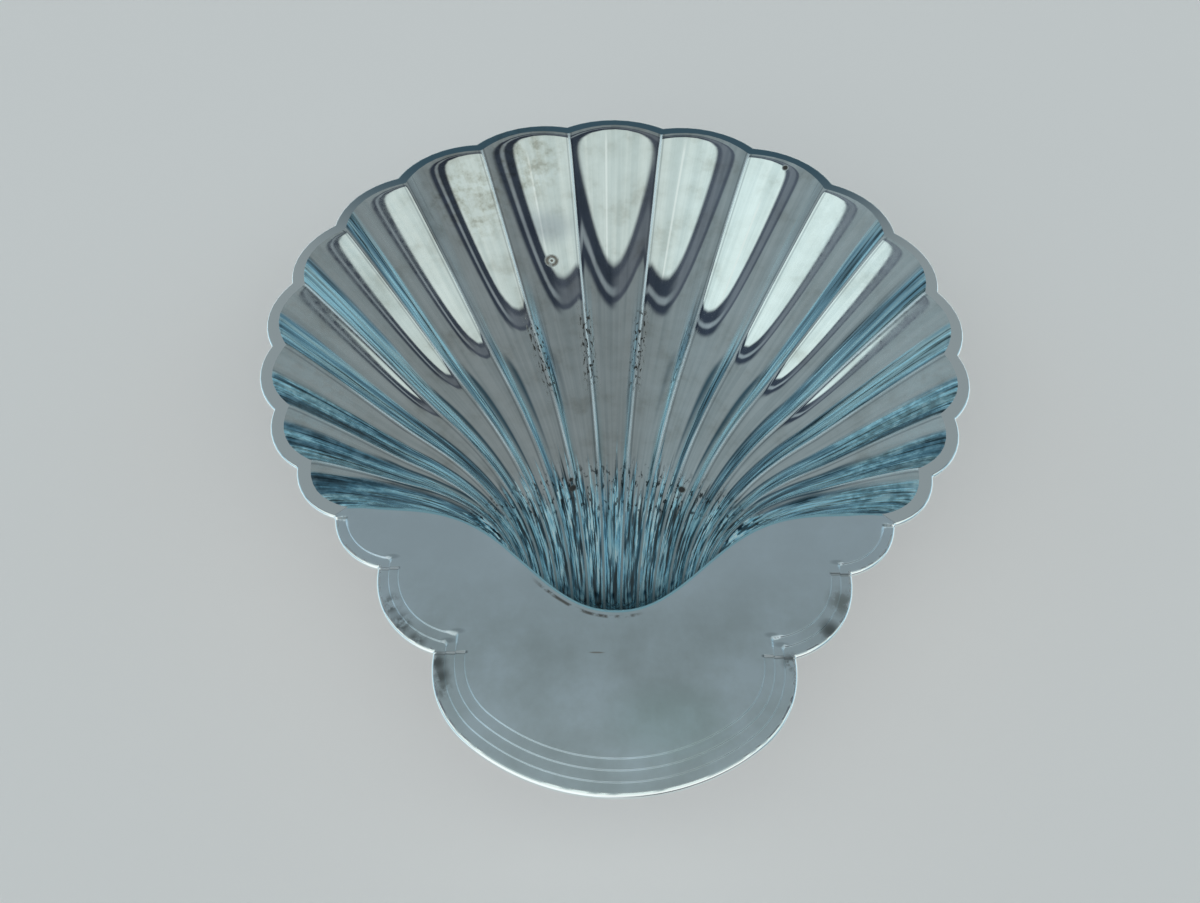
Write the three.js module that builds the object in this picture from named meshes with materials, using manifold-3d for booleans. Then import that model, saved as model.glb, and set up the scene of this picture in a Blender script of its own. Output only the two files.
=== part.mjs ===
// Footed shell dish: a fluted scallop bowl with a stepped tab, pressed from one sheet,
// on three ball feet that are soldered to pads under the bowl.
// Millimetres, +Z up. The part's origin is on the table under the middle of the dish, +Y points from the tab
// to the shell. The dish is drawn about the shell circle's centre, with z = 0 on the rim's face.

import * as THREE from "three";
import { mergeVertices } from "three/addons/utils/BufferGeometryUtils.js";
import Module from "manifold-3d";

const wasm = await Module();
wasm.setup();

// Shell outline
const shellRadius = 69.2; // circle through the notches between the lobes
const fluteCount = 17;
const notchSpacing = 20.4; // degrees from one notch to the next, if the spacing stayed as it is at the crest
const spacingLoss = 0.397; // how fast it shrinks away from the crest
const spacingBend = 0.0146; // how much faster it shrinks towards the tab
const lobeRoundness = 0.148; // rise of a lobe over its chord
const flangeWidth = 2.5; // flat rim, at a lobe's crest
const notchFlangeWidth = 3; // flat rim, at a notch

// Bowl
const sheetThickness = 1.2;
const steepestWall = 0.5; // least upright share of a wall's normal that the underside follows
const ridgeDepth = 20; // lowest run of the ridges, below the rim
const fluteRoundness = 0.21; // depth of a flute over its width
const fluteGrowth = 0.15; // share of a flute's run, from the lip, over which it deepens
const fluteFading = 3; // how late it gets shallower towards the rim
const edgeHold = 6; // how fast the lip's and the rim's own curves give way to the ridges' courses
const frontWallShare = 0.22; // share of a ridge's run that is the steep wall behind the lip
const backWallStart = 0.73; // share of a ridge's run from where the floor turns up into the back wall
const backWallKnee = 0.15; // rounding of that turn, over the wall's length
const backWallPower = 1.6; // how much steeper the wall gets towards the rim
const sideWallFlutes = 2.4; // number of flutes over which the floor falls away from the side
const shoulderRadius = 0.35; // rounding where the rim turns down into the bowl
const rimTurn = 13; // degrees by which a ridge's course at the rim turns from one to the next
const rimReach = 0.58; // how far a ridge holds its course at the rim, over its length
const lipReach = 0.196; // how far a ridge holds its course at the lip, over its length

// Lip between the bowl and the tab
const lipFront = 0.96 * shellRadius; // foremost point of the lip, in front of the circle's centre
const lipBellWidth = 0.274 * shellRadius;
const lipBellPower = 2.25;
const hingeHalfWidth = 0.26 * shellRadius; // the ridges end along this much of the lip, each side
const hingeSpread = 0.37; // how much closer the outer ridges lie at the lip than the middle ones

// Tab
const firstStep = { inward: 0.1286 * shellRadius, forward: 0.1387 * shellRadius, roundness: 0.15 };
const secondStep = { inward: 0.1582 * shellRadius, forward: 0.2124 * shellRadius, roundness: 0.164 };
const frontLobeLength = 0.309 * shellRadius; // from the last notch to the front of the tab
const frontLobeShoulder = 0.2413 * shellRadius; // radius at the sides of the front lobe
const shoulderLead = 0.01 * shellRadius; // the widest place of the front lobe, in front of its notch
const terraceHeight = 0.3; // drop of each chased step
const outerTerraceWidth = 2.1; // from the edge to the first step
const innerTerraceWidth = 1.6; // from one step to the next

// Feet
const footBallRadius = 4.2;
const footNeckRadius = 1.7;
const footNeckLength = 0.8;
const footFlatRadius = 1.6; // worn flat that the ball stands on
const padRadius = 4.6;
const padThickness = 0.8; // least thickness, under the deepest flute
const solderGap = 0.3;
const frontFootInset = 0.36 * shellRadius; // the two front feet, in front of the circle's centre
const frontFootSpread = 0.318 * shellRadius; // each side of the middle
const backFootInset = 0.39 * shellRadius; // the third foot, behind the circle's centre
const footPlaces = [
  { name: "front_left", x: -frontFootSpread, y: -frontFootInset },
  { name: "front_right", x: frontFootSpread, y: -frontFootInset },
  { name: "back", x: 0, y: backFootInset },
];

// Facets
const fluteFacets = 6;
const bowlRows = [0, 0.015, 0.045, 0.09, 0.15, 0.24, 0.36, 0.5, 0.62, 0.7, 0.76, 0.82, 0.88, 0.94, 0.98, 1];
const stepArcFacets = 10;
const frontArcFacets = 28;
const ballFacets = 24;
const weldDistance = 1e-4; // vertices closer than this are one
const differenceStep = 1e-3; // step in s and t for a surface's normal

const metal = (color, roughness) => new THREE.MeshStandardMaterial({ color, roughness, metalness: 1 });
const silver = metal(0xc9cdca, 0.2);
const wornSilver = metal(0xb9bcb8, 0.35);
const solderedSilver = metal(0xa8aaa5, 0.45);

const { degToRad, lerp, clamp, smoothstep } = THREE.MathUtils;
const point = (x, y) => new THREE.Vector2(x, y);
const mirrored = (p) => point(-p.x, p.y);

// Place at share f of the circular arc from a to b that bulges by rise to the left of its way.
function arcPoint(a, b, rise, f) {
  const chord = a.distanceTo(b);
  const halfAngle = 2 * Math.atan2(2 * rise, chord);
  const radius = chord / (2 * Math.sin(halfAngle));
  const turn = halfAngle * (2 * f - 1);
  const along = b.clone().sub(a).divideScalar(chord);
  const outward = point(-along.y, along.x);
  return a
    .clone()
    .lerp(b, 0.5)
    .addScaledVector(along, radius * Math.sin(turn))
    .addScaledVector(outward, radius * (Math.cos(turn) - Math.cos(halfAngle)));
}

// Notch k of the shell, on its circle. k runs clockwise seen from above, and m counts from the crest.
function notch(k) {
  const m = k - fluteCount / 2;
  const angle = degToRad(notchSpacing * m - spacingLoss * m * Math.abs(m) - spacingBend * m ** 3);
  return point(shellRadius * Math.sin(angle), shellRadius * Math.cos(angle));
}

// Notch of the flange's inner edge beside notch k.
function innerNotch(k) {
  return notch(k).multiplyScalar(1 - notchFlangeWidth / shellRadius);
}

// t counts flutes along the rim. Lobe k holds it at share f of the way from notch k to the next.
function lobeAt(t) {
  const k = clamp(Math.floor(t), 0, fluteCount - 1);
  return { k, f: t - k };
}

// Outer edge of the shell at t.
function outerEdge(t) {
  const { k, f } = lobeAt(t);
  const a = notch(k);
  const b = notch(k + 1);
  return arcPoint(a, b, lobeRoundness * a.distanceTo(b), f);
}

// Bulge of the flange's inner edge along lobe k.
function innerRise(k) {
  const outerMiddle = outerEdge(k + 0.5);
  const innerMiddle = innerNotch(k).lerp(innerNotch(k + 1), 0.5);
  return outerMiddle.distanceTo(innerMiddle) - flangeWidth;
}

// y of the lip at x: a bell curve that runs level into the flange's last notch.
const lipShoulder = -innerNotch(0).y;
function lipY(x) {
  const bell = Math.exp(-((Math.abs(x) / lipBellWidth) ** lipBellPower));
  return -lerp(lipShoulder, lipFront, bell);
}

// Where the flutes end at the lip, by t.
function hingePoint(t) {
  const u = (2 * t) / fluteCount - 1;
  const x = hingeHalfWidth * ((1 + hingeSpread) * u - hingeSpread * u ** 3);
  return point(x, lipY(x));
}

// Course of ridge k in plan, from the lip (s = 0) to the rim (s = 1). The outermost two run along the lip.
function ridgeCourse(k, s) {
  const start = hingePoint(k);
  const end = innerNotch(k);
  if (k === 0 || k === fluteCount) {
    const x = lerp(start.x, end.x, s);
    return point(x, lipY(x));
  }
  const length = start.distanceTo(end);
  const turn = degToRad(rimTurn) * (k - fluteCount / 2);
  const leave = point(start.x, start.y + lipReach * length);
  const arrive = point(Math.sin(turn), Math.cos(turn)).multiplyScalar(-rimReach * length).add(end);
  return new THREE.CubicBezierCurve(start, leave, arrive, end).getPoint(s);
}

// Hollow of a flute across its width: 0 on the ridges, 1 in the middle.
const hollow = (f) => 1 - (2 * f - 1) ** 2;
// Rise of the back wall along a flute's run: 0 on the floor, 1 at the rim, with a rounded foot.
function backRise(s) {
  const way = (s - backWallStart) / (1 - backWallStart);
  const rounded = way + Math.hypot(way, backWallKnee);
  return (rounded / (1 + Math.hypot(1, backWallKnee))) ** backWallPower;
}
// Hollow of a flute along its run: 0 at both ends, full between.
const fluteRun = (s) => smoothstep(s, 0, fluteGrowth) * (1 - s ** fluteFading);

// Upper side of the bowl at s (lip to rim) and t.
function bowlPoint(s, t) {
  const { k, f } = lobeAt(t);
  const a = ridgeCourse(k, s);
  const b = ridgeCourse(k + 1, s);
  const width = a.distanceTo(b);
  const across = b.clone().sub(a).divideScalar(width);
  const lipBulge = hingePoint(t).sub(hingePoint(k).lerp(hingePoint(k + 1), f));
  const rimBulge = point(-across.y, across.x).multiplyScalar(innerRise(k) * hollow(f));
  const plan = a.clone().lerp(b, f);
  plan.addScaledVector(lipBulge, (1 - s) ** edgeHold).addScaledVector(rimBulge, s ** edgeHold);
  const fromSide = Math.min(t, fluteCount - t);
  const frontWall = 1 - (1 - clamp(s / frontWallShare, 0, 1)) ** 3;
  const backWall = 1 - backRise(s);
  const sideWall = 1 - Math.exp(-fromSide / sideWallFlutes);
  const flute = fluteRoundness * width * hollow(f) * fluteRun(s);
  const depth = ridgeDepth * frontWall * backWall * sideWall + flute;
  const z = -(Math.sqrt(depth ** 2 + shoulderRadius ** 2) - shoulderRadius);
  return new THREE.Vector3(plan.x, plan.y, z);
}

// Depth below the upper side, measured straight down, that keeps the sheet's thickness on a slope.
function wallDrop(s, t) {
  if (s === 0 || s === 1 || t === 0 || t === fluteCount) return sheetThickness;
  const here = bowlPoint(s, t);
  const alongS = bowlPoint(s + (s < 0.5 ? differenceStep : -differenceStep), t).sub(here);
  const alongT = bowlPoint(s, t + (t < fluteCount / 2 ? differenceStep : -differenceStep)).sub(here);
  const normal = alongS.cross(alongT).normalize();
  return sheetThickness / Math.max(Math.abs(normal.z), steepestWall);
}

// Closed solid under a grid of upper points and straight down to a grid of lower points.
function slabFromGrid(upper, lower) {
  const rows = upper.length;
  const columns = upper[0].length;
  const positions = [];
  [upper, lower].flat(2).forEach((p) => positions.push(p.x, p.y, p.z));
  const at = (layer, i, j) => (layer * rows + i) * columns + j;
  const index = [];
  const quad = (a, b, c, d) => index.push(a, b, c, a, c, d);
  for (let i = 0; i < rows - 1; i++) {
    for (let j = 0; j < columns - 1; j++) {
      quad(at(0, i, j), at(0, i, j + 1), at(0, i + 1, j + 1), at(0, i + 1, j));
      quad(at(1, i, j), at(1, i + 1, j), at(1, i + 1, j + 1), at(1, i, j + 1));
    }
  }
  for (let j = 0; j < columns - 1; j++) {
    quad(at(0, 0, j), at(1, 0, j), at(1, 0, j + 1), at(0, 0, j + 1));
    quad(at(0, rows - 1, j), at(0, rows - 1, j + 1), at(1, rows - 1, j + 1), at(1, rows - 1, j));
  }
  for (let i = 0; i < rows - 1; i++) {
    quad(at(0, i, 0), at(0, i + 1, 0), at(1, i + 1, 0), at(1, i, 0));
    const last = columns - 1;
    quad(at(0, i, last), at(1, i, last), at(1, i + 1, last), at(0, i + 1, last));
  }
  return new THREE.BufferGeometry()
    .setAttribute("position", new THREE.Float32BufferAttribute(positions, 3))
    .setIndex(index);
}

// A geometry as a solid that can be joined and cut, and back again.
function toSolid(geometry) {
  const bare = geometry.clone();
  bare.deleteAttribute("normal");
  bare.deleteAttribute("uv");
  const merged = mergeVertices(bare, weldDistance);
  return new wasm.Manifold(
    new wasm.Mesh({
      numProp: 3,
      vertProperties: merged.attributes.position.array,
      triVerts: new Uint32Array(merged.index.array),
    }),
  );
}

function toGeometry(solid) {
  const mesh = solid.getMesh();
  return new THREE.BufferGeometry()
    .setAttribute("position", new THREE.BufferAttribute(new Float32Array(mesh.vertProperties), 3))
    .setIndex(new THREE.BufferAttribute(new Uint32Array(mesh.triVerts), 1));
}

// Flat plate of sheet inside an outline, a number of terraces below the rim's face.
function plate(outline, terrace) {
  const top = -terrace * terraceHeight;
  const geometry = new THREE.ExtrudeGeometry(new THREE.Shape(outline), {
    depth: sheetThickness,
    bevelEnabled: false,
    steps: 1,
  });
  const places = geometry.getAttribute("position");
  for (let i = 0; i < places.count; i++) {
    places.setZ(i, places.getZ(i) > sheetThickness / 2 ? top : top - sheetThickness);
  }
  return geometry;
}

const shares = (count) => Array.from({ length: count + 1 }, (_, i) => i / count);

// Notches of the tab on the +X side: the shell's last one, and one in front of each stepped lobe.
const tabNotches = [notch(fluteCount)];
[firstStep, secondStep].forEach((step, i) =>
  tabNotches.push(point(tabNotches[i].x - step.inward, tabNotches[i].y - step.forward)),
);

// Centre and radius of the arc from a to b that bulges by rise to the left.
function circleOf(a, b, rise) {
  const chord = a.distanceTo(b);
  const radius = chord ** 2 / (8 * rise) + rise / 2;
  const crest = arcPoint(a, b, rise, 0.5);
  const centre = a.clone().lerp(b, 0.5).sub(crest).setLength(radius).add(crest);
  return { centre, radius };
}

// The front lobe is a wide arc between two shoulder arcs that it touches.
const lastNotch = tabNotches[2];
const tabFront = lastNotch.y - frontLobeLength;
const shoulderInward = Math.sqrt(frontLobeShoulder ** 2 - shoulderLead ** 2);
const shoulder = {
  centre: point(lastNotch.x - shoulderInward, lastNotch.y - shoulderLead),
  radius: frontLobeShoulder,
};
const shoulderDrop = shoulder.centre.y - tabFront;
const touchingArcs = shoulder.centre.x ** 2 + shoulderDrop ** 2 - frontLobeShoulder ** 2;
const frontRadius = touchingArcs / (2 * (shoulderDrop - frontLobeShoulder));
const front = { centre: point(0, tabFront + frontRadius), radius: frontRadius };
const frontHalfAngle = Math.atan2(shoulder.centre.x, front.centre.y - shoulder.centre.y);

const lobes = [firstStep, secondStep].map((step, i) => {
  const a = tabNotches[i];
  const b = tabNotches[i + 1];
  return circleOf(a, b, step.roundness * a.distanceTo(b));
});
lobes.push(shoulder);

// x at y on the +X side of a lobe's circle, drawn in by inset.
function insetX(lobe, inset, y) {
  return lobe.centre.x + Math.sqrt((lobe.radius - inset) ** 2 - (y - lobe.centre.y) ** 2);
}

// Points along a circle between two angles, both included.
function arc({ centre, radius }, inset, from, to, facets) {
  const r = radius - inset;
  return shares(facets).map((f) => {
    const angle = lerp(from, to, f);
    return point(centre.x + r * Math.cos(angle), centre.y + r * Math.sin(angle));
  });
}

// The steps' distances from the edge, from the outermost step inwards.
const insets = [0, 1, 2].map((i) => outerTerraceWidth + i * innerTerraceWidth);

// Where step i of lobe j starts, on the level of that lobe's notch.
const lineStart = (j, i) => point(insetX(lobes[j], insets[i], tabNotches[j].y), tabNotches[j].y);

// Step i of side lobe j: along its arc, to a corner in line with the place where the next lobe takes it up.
function sideLine(j, i) {
  const lobe = lobes[j];
  const from = lineStart(j, i);
  const to = lineStart(j + 1, i);
  const radius = lobe.radius - insets[i];
  const start = Math.asin((from.y - lobe.centre.y) / radius);
  const end = -Math.acos((to.x - lobe.centre.x) / radius);
  return arc(lobe, insets[i], start, end, stepArcFacets);
}

// The front lobe's edge (inset 0) or one of its steps, from the +X side to the -X side.
function frontLine(inset) {
  const radius = shoulder.radius - inset;
  const start = Math.asin((lastNotch.y - shoulder.centre.y) / radius);
  const side = arc(shoulder, inset, start, frontHalfAngle - Math.PI / 2, stepArcFacets);
  const middle = arc(front, inset, frontHalfAngle - Math.PI / 2, -Math.PI / 2, frontArcFacets / 2);
  const half = [...side, ...middle.slice(1)];
  return [...half, ...half.slice(0, -1).reverse().map(mirrored)];
}

// Outer edge of side lobe j.
function sideEdge(j) {
  const a = tabNotches[j];
  const b = tabNotches[j + 1];
  const step = [firstStep, secondStep][j];
  return shares(stepArcFacets).map((f) => arcPoint(a, b, step.roundness * a.distanceTo(b), f));
}

// Bowl, one row of points for each place along the flutes.
const flutePlaces = shares(fluteCount * fluteFacets).map((f) => f * fluteCount);
const bowlTop = bowlRows.map((s) => flutePlaces.map((t) => bowlPoint(s, t)));
const bowlUnderside = bowlRows.map((s, i) =>
  flutePlaces.map((t, j) => bowlTop[i][j].clone().add(new THREE.Vector3(0, 0, -wallDrop(s, t)))),
);

// The lip is the bowl's edge towards the tab, from the -X side to the +X side.
const lip = [
  ...bowlTop.slice(1).reverse().map((row) => row[0]),
  ...bowlTop[0],
  ...bowlTop.slice(1).map((row) => row[row.length - 1]),
].map((p) => point(p.x, p.y));

// Each terrace of the tab is a plate. The steps between them run on from one lobe to the next.
const bothSides = (outline) => [outline, outline.map(mirrored)];
const rightSteps = [
  tabNotches[0],
  ...sideLine(0, 0),
  lineStart(1, 0),
  ...sideLine(1, 1),
  lineStart(2, 1),
];
const leftSteps = rightSteps.slice().reverse().map(mirrored);
const secondInner = [...sideLine(1, 1), lineStart(2, 1), lineStart(2, 0), ...sideLine(1, 0).reverse()];
const tabPlates = [
  plate([...lip, ...rightSteps, ...frontLine(insets[2]), ...leftSteps], 0),
  ...bothSides([...sideEdge(0), lineStart(1, 0), ...sideLine(0, 0).reverse()]).map((o) => plate(o, 1)),
  ...bothSides([...sideEdge(1), lineStart(2, 0), ...sideLine(1, 0).reverse()]).map((o) => plate(o, 2)),
  ...bothSides(secondInner).map((o) => plate(o, 1)),
  plate([...frontLine(0), ...frontLine(insets[0]).reverse()], 3),
  plate([...frontLine(insets[0]), ...frontLine(insets[1]).reverse()], 2),
  plate([...frontLine(insets[1]), ...frontLine(insets[2]).reverse()], 1),
];

// The flange continues the bowl's grid to the edge.
const flangeTop = flutePlaces.map((t) => new THREE.Vector3(outerEdge(t).x, outerEdge(t).y, 0));
const flangeUnderside = flangeTop.map((p) => new THREE.Vector3(p.x, p.y, -sheetThickness));
const bowl = slabFromGrid([...bowlTop, flangeTop], [...bowlUnderside, flangeUnderside]);

const dishSolid = tabPlates.map(toSolid).reduce((whole, piece) => whole.add(piece), toSolid(bowl));

// Everything above the bowl's underside, less the solder's gap: what a pad may not reach into.
const lowered = bowlUnderside.map((row) => row.map((p) => new THREE.Vector3(p.x, p.y, p.z - solderGap)));
const raised = bowlUnderside.map((row) => row.map((p) => new THREE.Vector3(p.x, p.y, sheetThickness)));
const aboveUnderside = toSolid(slabFromGrid(raised, lowered));

// Solid of revolution about the z axis, from [radius, z] pairs that run upwards.
function turned(profile, facets) {
  return new THREE.LatheGeometry(profile.map(([r, z]) => point(r, z)), facets).rotateX(Math.PI / 2);
}

// Round blank of a pad, from the rim's face down to a bottom.
function padBlank(place, bottom) {
  const blank = turned([[0, bottom], [padRadius, bottom], [padRadius, 0], [0, 0]], ballFacets);
  return toSolid(blank.translate(place.x, place.y, 0));
}

// All pads end level, the least thickness below the deepest place that a pad is dressed to.
const dressed = footPlaces.map((place) => padBlank(place, -2 * ridgeDepth).intersect(aboveUnderside));
const padTop = Math.min(...dressed.map((solid) => solid.boundingBox().min[2]));
const padBottom = padTop - padThickness;

// A pad under the bowl, its top dressed to the flutes.
const padSolid = (place) => padBlank(place, padBottom).subtract(aboveUnderside);

// A turned ball on a worn flat, with a short neck up to the pad.
const ballHeight = Math.sqrt(footBallRadius ** 2 - footFlatRadius ** 2);
const neckStart = ballHeight + Math.sqrt(footBallRadius ** 2 - footNeckRadius ** 2);
const footHeight = neckStart + footNeckLength;
const ground = padBottom - solderGap - footHeight;
function footGeometry() {
  const low = -Math.asin(ballHeight / footBallRadius);
  const high = Math.asin((neckStart - ballHeight) / footBallRadius);
  const ball = shares(ballFacets / 2).map((f) => {
    const angle = lerp(low, high, f);
    return [footBallRadius * Math.cos(angle), ballHeight + footBallRadius * Math.sin(angle)];
  });
  return turned([[0, 0], ...ball, [footNeckRadius, footHeight], [0, footHeight]], ballFacets);
}

function named(name, geometry, material) {
  const mesh = new THREE.Mesh(geometry, material);
  mesh.name = name;
  return mesh;
}

// The dish stands on the table, its middle over the origin.
const dish = new THREE.Group();
dish.position.set(0, -(outerEdge(fluteCount / 2).y + tabFront) / 2, -ground);
dish.add(named("shell_dish", toGeometry(dishSolid), silver));
footPlaces.forEach((place) => {
  const foot = named(`ball_foot_${place.name}`, footGeometry(), wornSilver);
  foot.position.set(place.x, place.y, ground);
  dish.add(foot, named(`foot_pad_${place.name}`, toGeometry(padSolid(place)), solderedSilver));
});

export default dish;
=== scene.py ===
# %% [markdown]
# # Footed shell dish
# The real object is a silver-plated scallop shell: one sheet pressed into a fluted bowl with a flat
# scalloped rim and a stepped tab, on three ball feet. This file dresses the plain solids of the packed
# part. It repeats the shell's formulas on a finer grid, gives the metal its polish and tarnish, and sets up
# floor, sky and camera. Lengths are in millimetres until a mesh is filled, and in metres after that.

# %% Load the frame
import math
from functools import partial

import bmesh
import bpy
import numpy as np
from mathutils import Matrix, Vector
from mathutils.bvhtree import BVHTree


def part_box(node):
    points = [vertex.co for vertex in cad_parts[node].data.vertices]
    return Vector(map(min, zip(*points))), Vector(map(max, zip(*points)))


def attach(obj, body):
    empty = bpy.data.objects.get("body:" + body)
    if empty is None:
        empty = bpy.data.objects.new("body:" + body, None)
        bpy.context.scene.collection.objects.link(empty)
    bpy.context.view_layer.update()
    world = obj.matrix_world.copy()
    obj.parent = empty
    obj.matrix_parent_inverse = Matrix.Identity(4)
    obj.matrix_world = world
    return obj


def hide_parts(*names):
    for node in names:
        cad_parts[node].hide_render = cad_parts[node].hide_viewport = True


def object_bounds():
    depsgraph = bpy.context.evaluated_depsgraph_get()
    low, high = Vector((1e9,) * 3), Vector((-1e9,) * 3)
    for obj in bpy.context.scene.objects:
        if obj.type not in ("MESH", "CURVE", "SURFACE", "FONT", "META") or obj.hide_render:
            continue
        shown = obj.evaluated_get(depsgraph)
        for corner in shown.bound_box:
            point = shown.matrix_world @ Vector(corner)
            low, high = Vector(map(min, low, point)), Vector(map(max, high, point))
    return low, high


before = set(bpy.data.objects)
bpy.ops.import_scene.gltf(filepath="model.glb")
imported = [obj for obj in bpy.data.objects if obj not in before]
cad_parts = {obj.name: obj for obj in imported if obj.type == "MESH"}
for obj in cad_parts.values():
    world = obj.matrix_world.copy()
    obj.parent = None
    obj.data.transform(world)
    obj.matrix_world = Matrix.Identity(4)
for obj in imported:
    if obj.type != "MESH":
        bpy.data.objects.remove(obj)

MM = 0.001
cad_low, cad_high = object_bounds()
print("CAD box in mm:", [round(v / MM, 2) for v in cad_low], [round(v / MM, 2) for v in cad_high])

# %% [markdown]
# ## The shell's outline
# Seen from above, the notches between the lobes lie on one circle, and they get closer together towards the
# tab. They could be placed one by one, but one formula for all of them keeps the shell even, and each lobe
# is a round arc between two of them.

# %% Notches on one circle
shell_radius = 69.2
flute_count = 17
notch_spacing = math.radians(20.4)
spacing_loss = math.radians(0.397)
spacing_bend = math.radians(0.0146)
notch_flange_width = 3.0


def notch(k):
    """Notch k on the shell's circle. Its angle from the crest is the spacing times its count m from the
    crest, less a square and a cube of m."""
    m = np.asarray(k, float) - flute_count / 2
    angle = notch_spacing * m - spacing_loss * m * np.abs(m) - spacing_bend * m**3
    return shell_radius * np.stack([np.sin(angle), np.cos(angle)], -1)


def inner_notch(k):
    """Notch k of the flange's inner edge: notch k, drawn in along its radius."""
    return notch(k) * (1 - notch_flange_width / shell_radius)


print("notches from", notch(0).round(1), "to", notch(flute_count).round(1))

# %% Lobes as round arcs
lobe_roundness = 0.148
flange_width = 2.5


def arc_point(a, b, roundness, f):
    """Point at share f of the arc from a to b. Roundness is the arc's rise over its chord: twice its double
    arc tangent is the angle of the arc, and sine and cosine of the turn lead to the point."""
    half = 2 * math.atan(2 * roundness)
    turn = half * (2 * np.asarray(f, float)[..., None] - 1)
    along = b - a
    outward = np.stack([-along[..., 1], along[..., 0]], -1)
    step = along * np.sin(turn) + outward * (np.cos(turn) - math.cos(half))
    return (a + b) / 2 + step / (2 * math.sin(half))


def lobe_at(t):
    """t counts flutes along the rim: its whole part is the lobe, the rest the share of the way over it."""
    k = np.clip(np.floor(t), 0, flute_count - 1)
    return k, t - k


def outer_edge(t):
    """Outer edge of the shell at t: the lobe's arc between its two notches."""
    k, f = lobe_at(np.asarray(t, float))
    return arc_point(notch(k), notch(k + 1), lobe_roundness, f)


crest = outer_edge(flute_count / 2)
shift_y = cad_high[1] / MM - crest[1]
rim_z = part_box("shell_dish")[1][2] / MM
print("rim", round(rim_z, 3), "mm over the floor, shell's centre at y", round(shift_y, 3))

# %% [markdown]
# ## The fluted bowl
# On the real dish 17 hollow flutes run from the scalloped rim to a short stretch of the lip behind the tab.
# It could be sculpted, but a formula of two numbers gives all of it: s runs from the lip to the rim, and t
# counts flutes. Each ridge is a curve in plan, each flute a shallow hollow between two ridges, and three
# falling walls give the depth. Rows and columns crowd where the metal bends most.

# %% The lip and the ridges in plan
lip_front = 0.96 * shell_radius
lip_bell_width = 0.274 * shell_radius
lip_bell_power = 2.25
hinge_half_width = 0.26 * shell_radius
hinge_spread = 0.37
rim_turn = math.radians(13)
rim_reach = 0.58
lip_reach = 0.196


def lip_y(x):
    """The lip in plan: a bell curve that runs level into the flange's last notch."""
    bell = np.exp(-((np.abs(x) / lip_bell_width) ** lip_bell_power))
    shoulder = -inner_notch(0)[1]
    return -(shoulder + (lip_front - shoulder) * bell)


def hinge_point(t):
    """Where flute place t ends on the lip: a little closer together at the sides than in the middle."""
    u = 2 * np.asarray(t, float) / flute_count - 1
    x = hinge_half_width * ((1 + hinge_spread) * u - hinge_spread * u**3)
    return np.stack([x, lip_y(x)], -1)


def ridge_courses(s):
    """All ridges in plan as [s, ridge]: cubic curves from lip to rim. The outermost two are the lip."""
    k = np.arange(flute_count + 1)
    start, end = hinge_point(k), inner_notch(k)
    length = np.linalg.norm(end - start, axis=-1, keepdims=True)
    turn = rim_turn * (k[:, None] - flute_count / 2)
    leave = start + lip_reach * length * np.array([0, 1])
    arrive = end - rim_reach * length * np.concatenate([np.sin(turn), np.cos(turn)], -1)
    s = s[:, None, None]
    course = (1 - s) ** 3 * start + 3 * (1 - s) ** 2 * s * leave + 3 * (1 - s) * s**2 * arrive + s**3 * end
    for side in (0, flute_count):
        x = start[side, 0] + (end[side, 0] - start[side, 0]) * s[:, 0, 0]
        course[:, side] = np.stack([x, lip_y(x)], -1)
    return course


print("flutes end on the lip from x", hinge_point(0)[0].round(1), "to", hinge_point(flute_count)[0].round(1))

# %% Hollow flutes and rising walls
ridge_depth = 20.0
flute_roundness = 0.21
flute_growth = 0.15
flute_fading = 3
edge_hold = 6
front_wall_share = 0.22
back_wall_start = 0.73
back_wall_knee = 0.15
back_wall_power = 1.6
side_wall_flutes = 2.4
shoulder_radius = 0.35
ridge_softness = 0.05


def smoothstep(x, a, b):
    """0 below a, 1 above b, and the cubic 3x^2 - 2x^3 between."""
    x = np.clip((x - a) / (b - a), 0, 1)
    return x * x * (3 - 2 * x)


def hollow(f):
    """Hollow across a flute: a parabola, 0 on the ridges and 1 in the middle, with ridges worn round."""
    away = 1 - np.abs(2 * f - 1)
    worn = np.sqrt(away**2 + ridge_softness**2) - ridge_softness
    return 2 * worn - worn**2


def back_rise(run):
    """Rise of the back wall: 0 on the floor and 1 at the rim, a power of the way up the wall. A hyperbola
    rounds the wall's foot."""
    way = (run - back_wall_start) / (1 - back_wall_start)
    rounded = way + np.sqrt(way**2 + back_wall_knee**2)
    return (rounded / (1 + math.hypot(1, back_wall_knee))) ** back_wall_power


print("rise of the back wall halfway up it", round(float(back_rise((1 + back_wall_start) / 2)), 2))

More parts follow.
